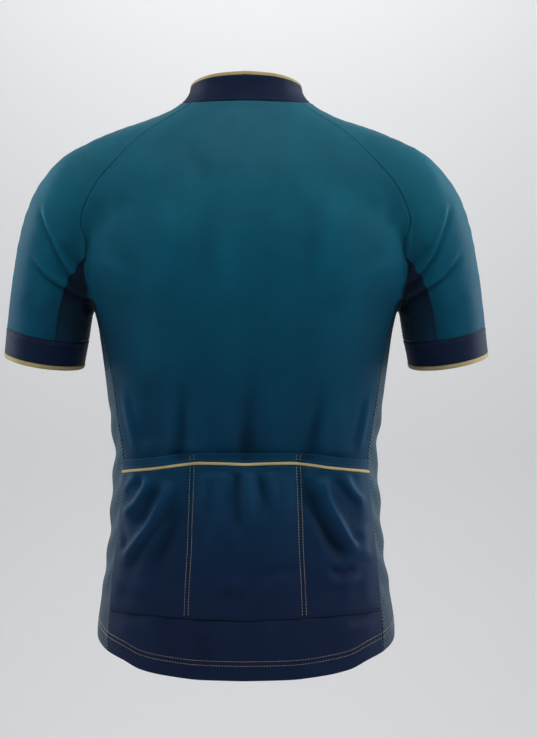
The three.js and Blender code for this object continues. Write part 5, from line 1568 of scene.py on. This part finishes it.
dress("zip_teeth", tooth_finish)
dress("gold_stitching", gold_yarn)
dress("navy_stitching", navy_yarn)
dress("band_stitching", teal_yarn)
for node in ("zip_slider", "zip_pull"):
    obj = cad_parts[node]
    for k in range(max(1, len(obj.material_slots))):
        obj.material_slots[k].material = metal_finish


# ---------------------------------------------------------------- light, floor and camera
FLOOR_Z = -1.45


def stage_mesh(name, verts, faces, colour, rough=0.9):
    mesh = bpy.data.meshes.new(name)
    mesh.from_pydata(verts, [], faces)
    mesh.polygons.foreach_set("use_smooth", np.ones(len(mesh.polygons), bool))
    obj = bpy.data.objects.new(name, mesh)
    bpy.context.scene.collection.objects.link(obj)
    m = Finish(name)
    m.skin_values(Base_Color=colour, Roughness=rough)
    m.put(m.skin, "Specular IOR Level", 0.1)
    mesh.materials.append(m.mat)
    return obj


# floor that curves up into the backdrop
sweep = [(3.4, FLOOR_Z)] + [(-3.5 - 0.9 * math.sin(a), FLOOR_Z + 0.9 - 0.9 * math.cos(a)) for a in np.linspace(0, math.pi / 2, 17)]
sweep.append((-4.4, 4.6))
verts = [(x, y, z) for y, z in sweep for x in (-6.0, 6.0)]
faces = [(2 * k, 2 * k + 1, 2 * k + 3, 2 * k + 2) for k in range(len(sweep) - 1)]
stage_mesh("floor_and_backdrop", verts, faces, lin(232, 233, 235))


def area_light(name, place, aim, size, power, colour=(1, 1, 1), wide=None):
    data = bpy.data.lights.new(name, "AREA")
    data.shape = "RECTANGLE"
    data.size, data.size_y = size, wide or size
    data.energy = power
    data.color = colour
    obj = bpy.data.objects.new(name, data)
    obj.location = place
    obj.rotation_euler = (Vector(aim) - Vector(place)).to_track_quat("-Z", "Y").to_euler()
    bpy.context.scene.collection.objects.link(obj)
    return obj


area_light("top_softbox", (0.0, 1.15, 1.85), (0, 0.05, -0.3), 1.2, 23, (1.0, 0.99, 0.97), 1.0)
area_light("key_right", (-2.2, 0.62, 0.45), (0, 0, -0.35), 0.6, 16.5, (1.0, 0.99, 0.97), 1.2)
area_light("key_left", (2.2, 0.62, 0.4), (0, 0, -0.35), 0.6, 11, (0.99, 0.99, 1.0), 1.2)
area_light("rim_right", (-1.45, -0.85, 0.15), (0, 0, -0.35), 0.6, 17, (0.96, 0.98, 1.0), 1.6)
area_light("rim_left", (1.45, -0.85, 0.15), (0, 0, -0.35), 0.6, 14, (0.96, 0.98, 1.0), 1.6)
area_light("backdrop_light", (0.0, -2.7, 1.9), (0, -4.4, -0.8), 1.8, 74, (1, 1, 1), 3.6)

world = bpy.data.worlds.new("studio")
bpy.context.scene.world = world
world.use_nodes = True
world.node_tree.nodes["Background"].inputs[0].default_value = (0.90, 0.91, 0.93, 1)
world.node_tree.nodes["Background"].inputs[1].default_value = 0.085
bpy.context.scene.view_settings.view_transform = "Standard"

camera_data = bpy.data.cameras.new("photo_camera")
camera = bpy.data.objects.new("photo_camera", camera_data)
bpy.context.scene.collection.objects.link(camera)
MM_PER_PX, FAR = 1.17, 3200.0
camera_data.sensor_fit = "VERTICAL"
camera_data.sensor_height = 24.0
camera_data.lens = 24.0 * FAR / (738 * MM_PER_PX)
camera_data.clip_end = 50
camera.location = (-(268.5 - 246) * MM_PER_PX * MM, FAR * MM, -0.311)
camera.rotation_euler = (math.radians(90), 0, math.radians(180))
bpy.context.scene.camera = camera
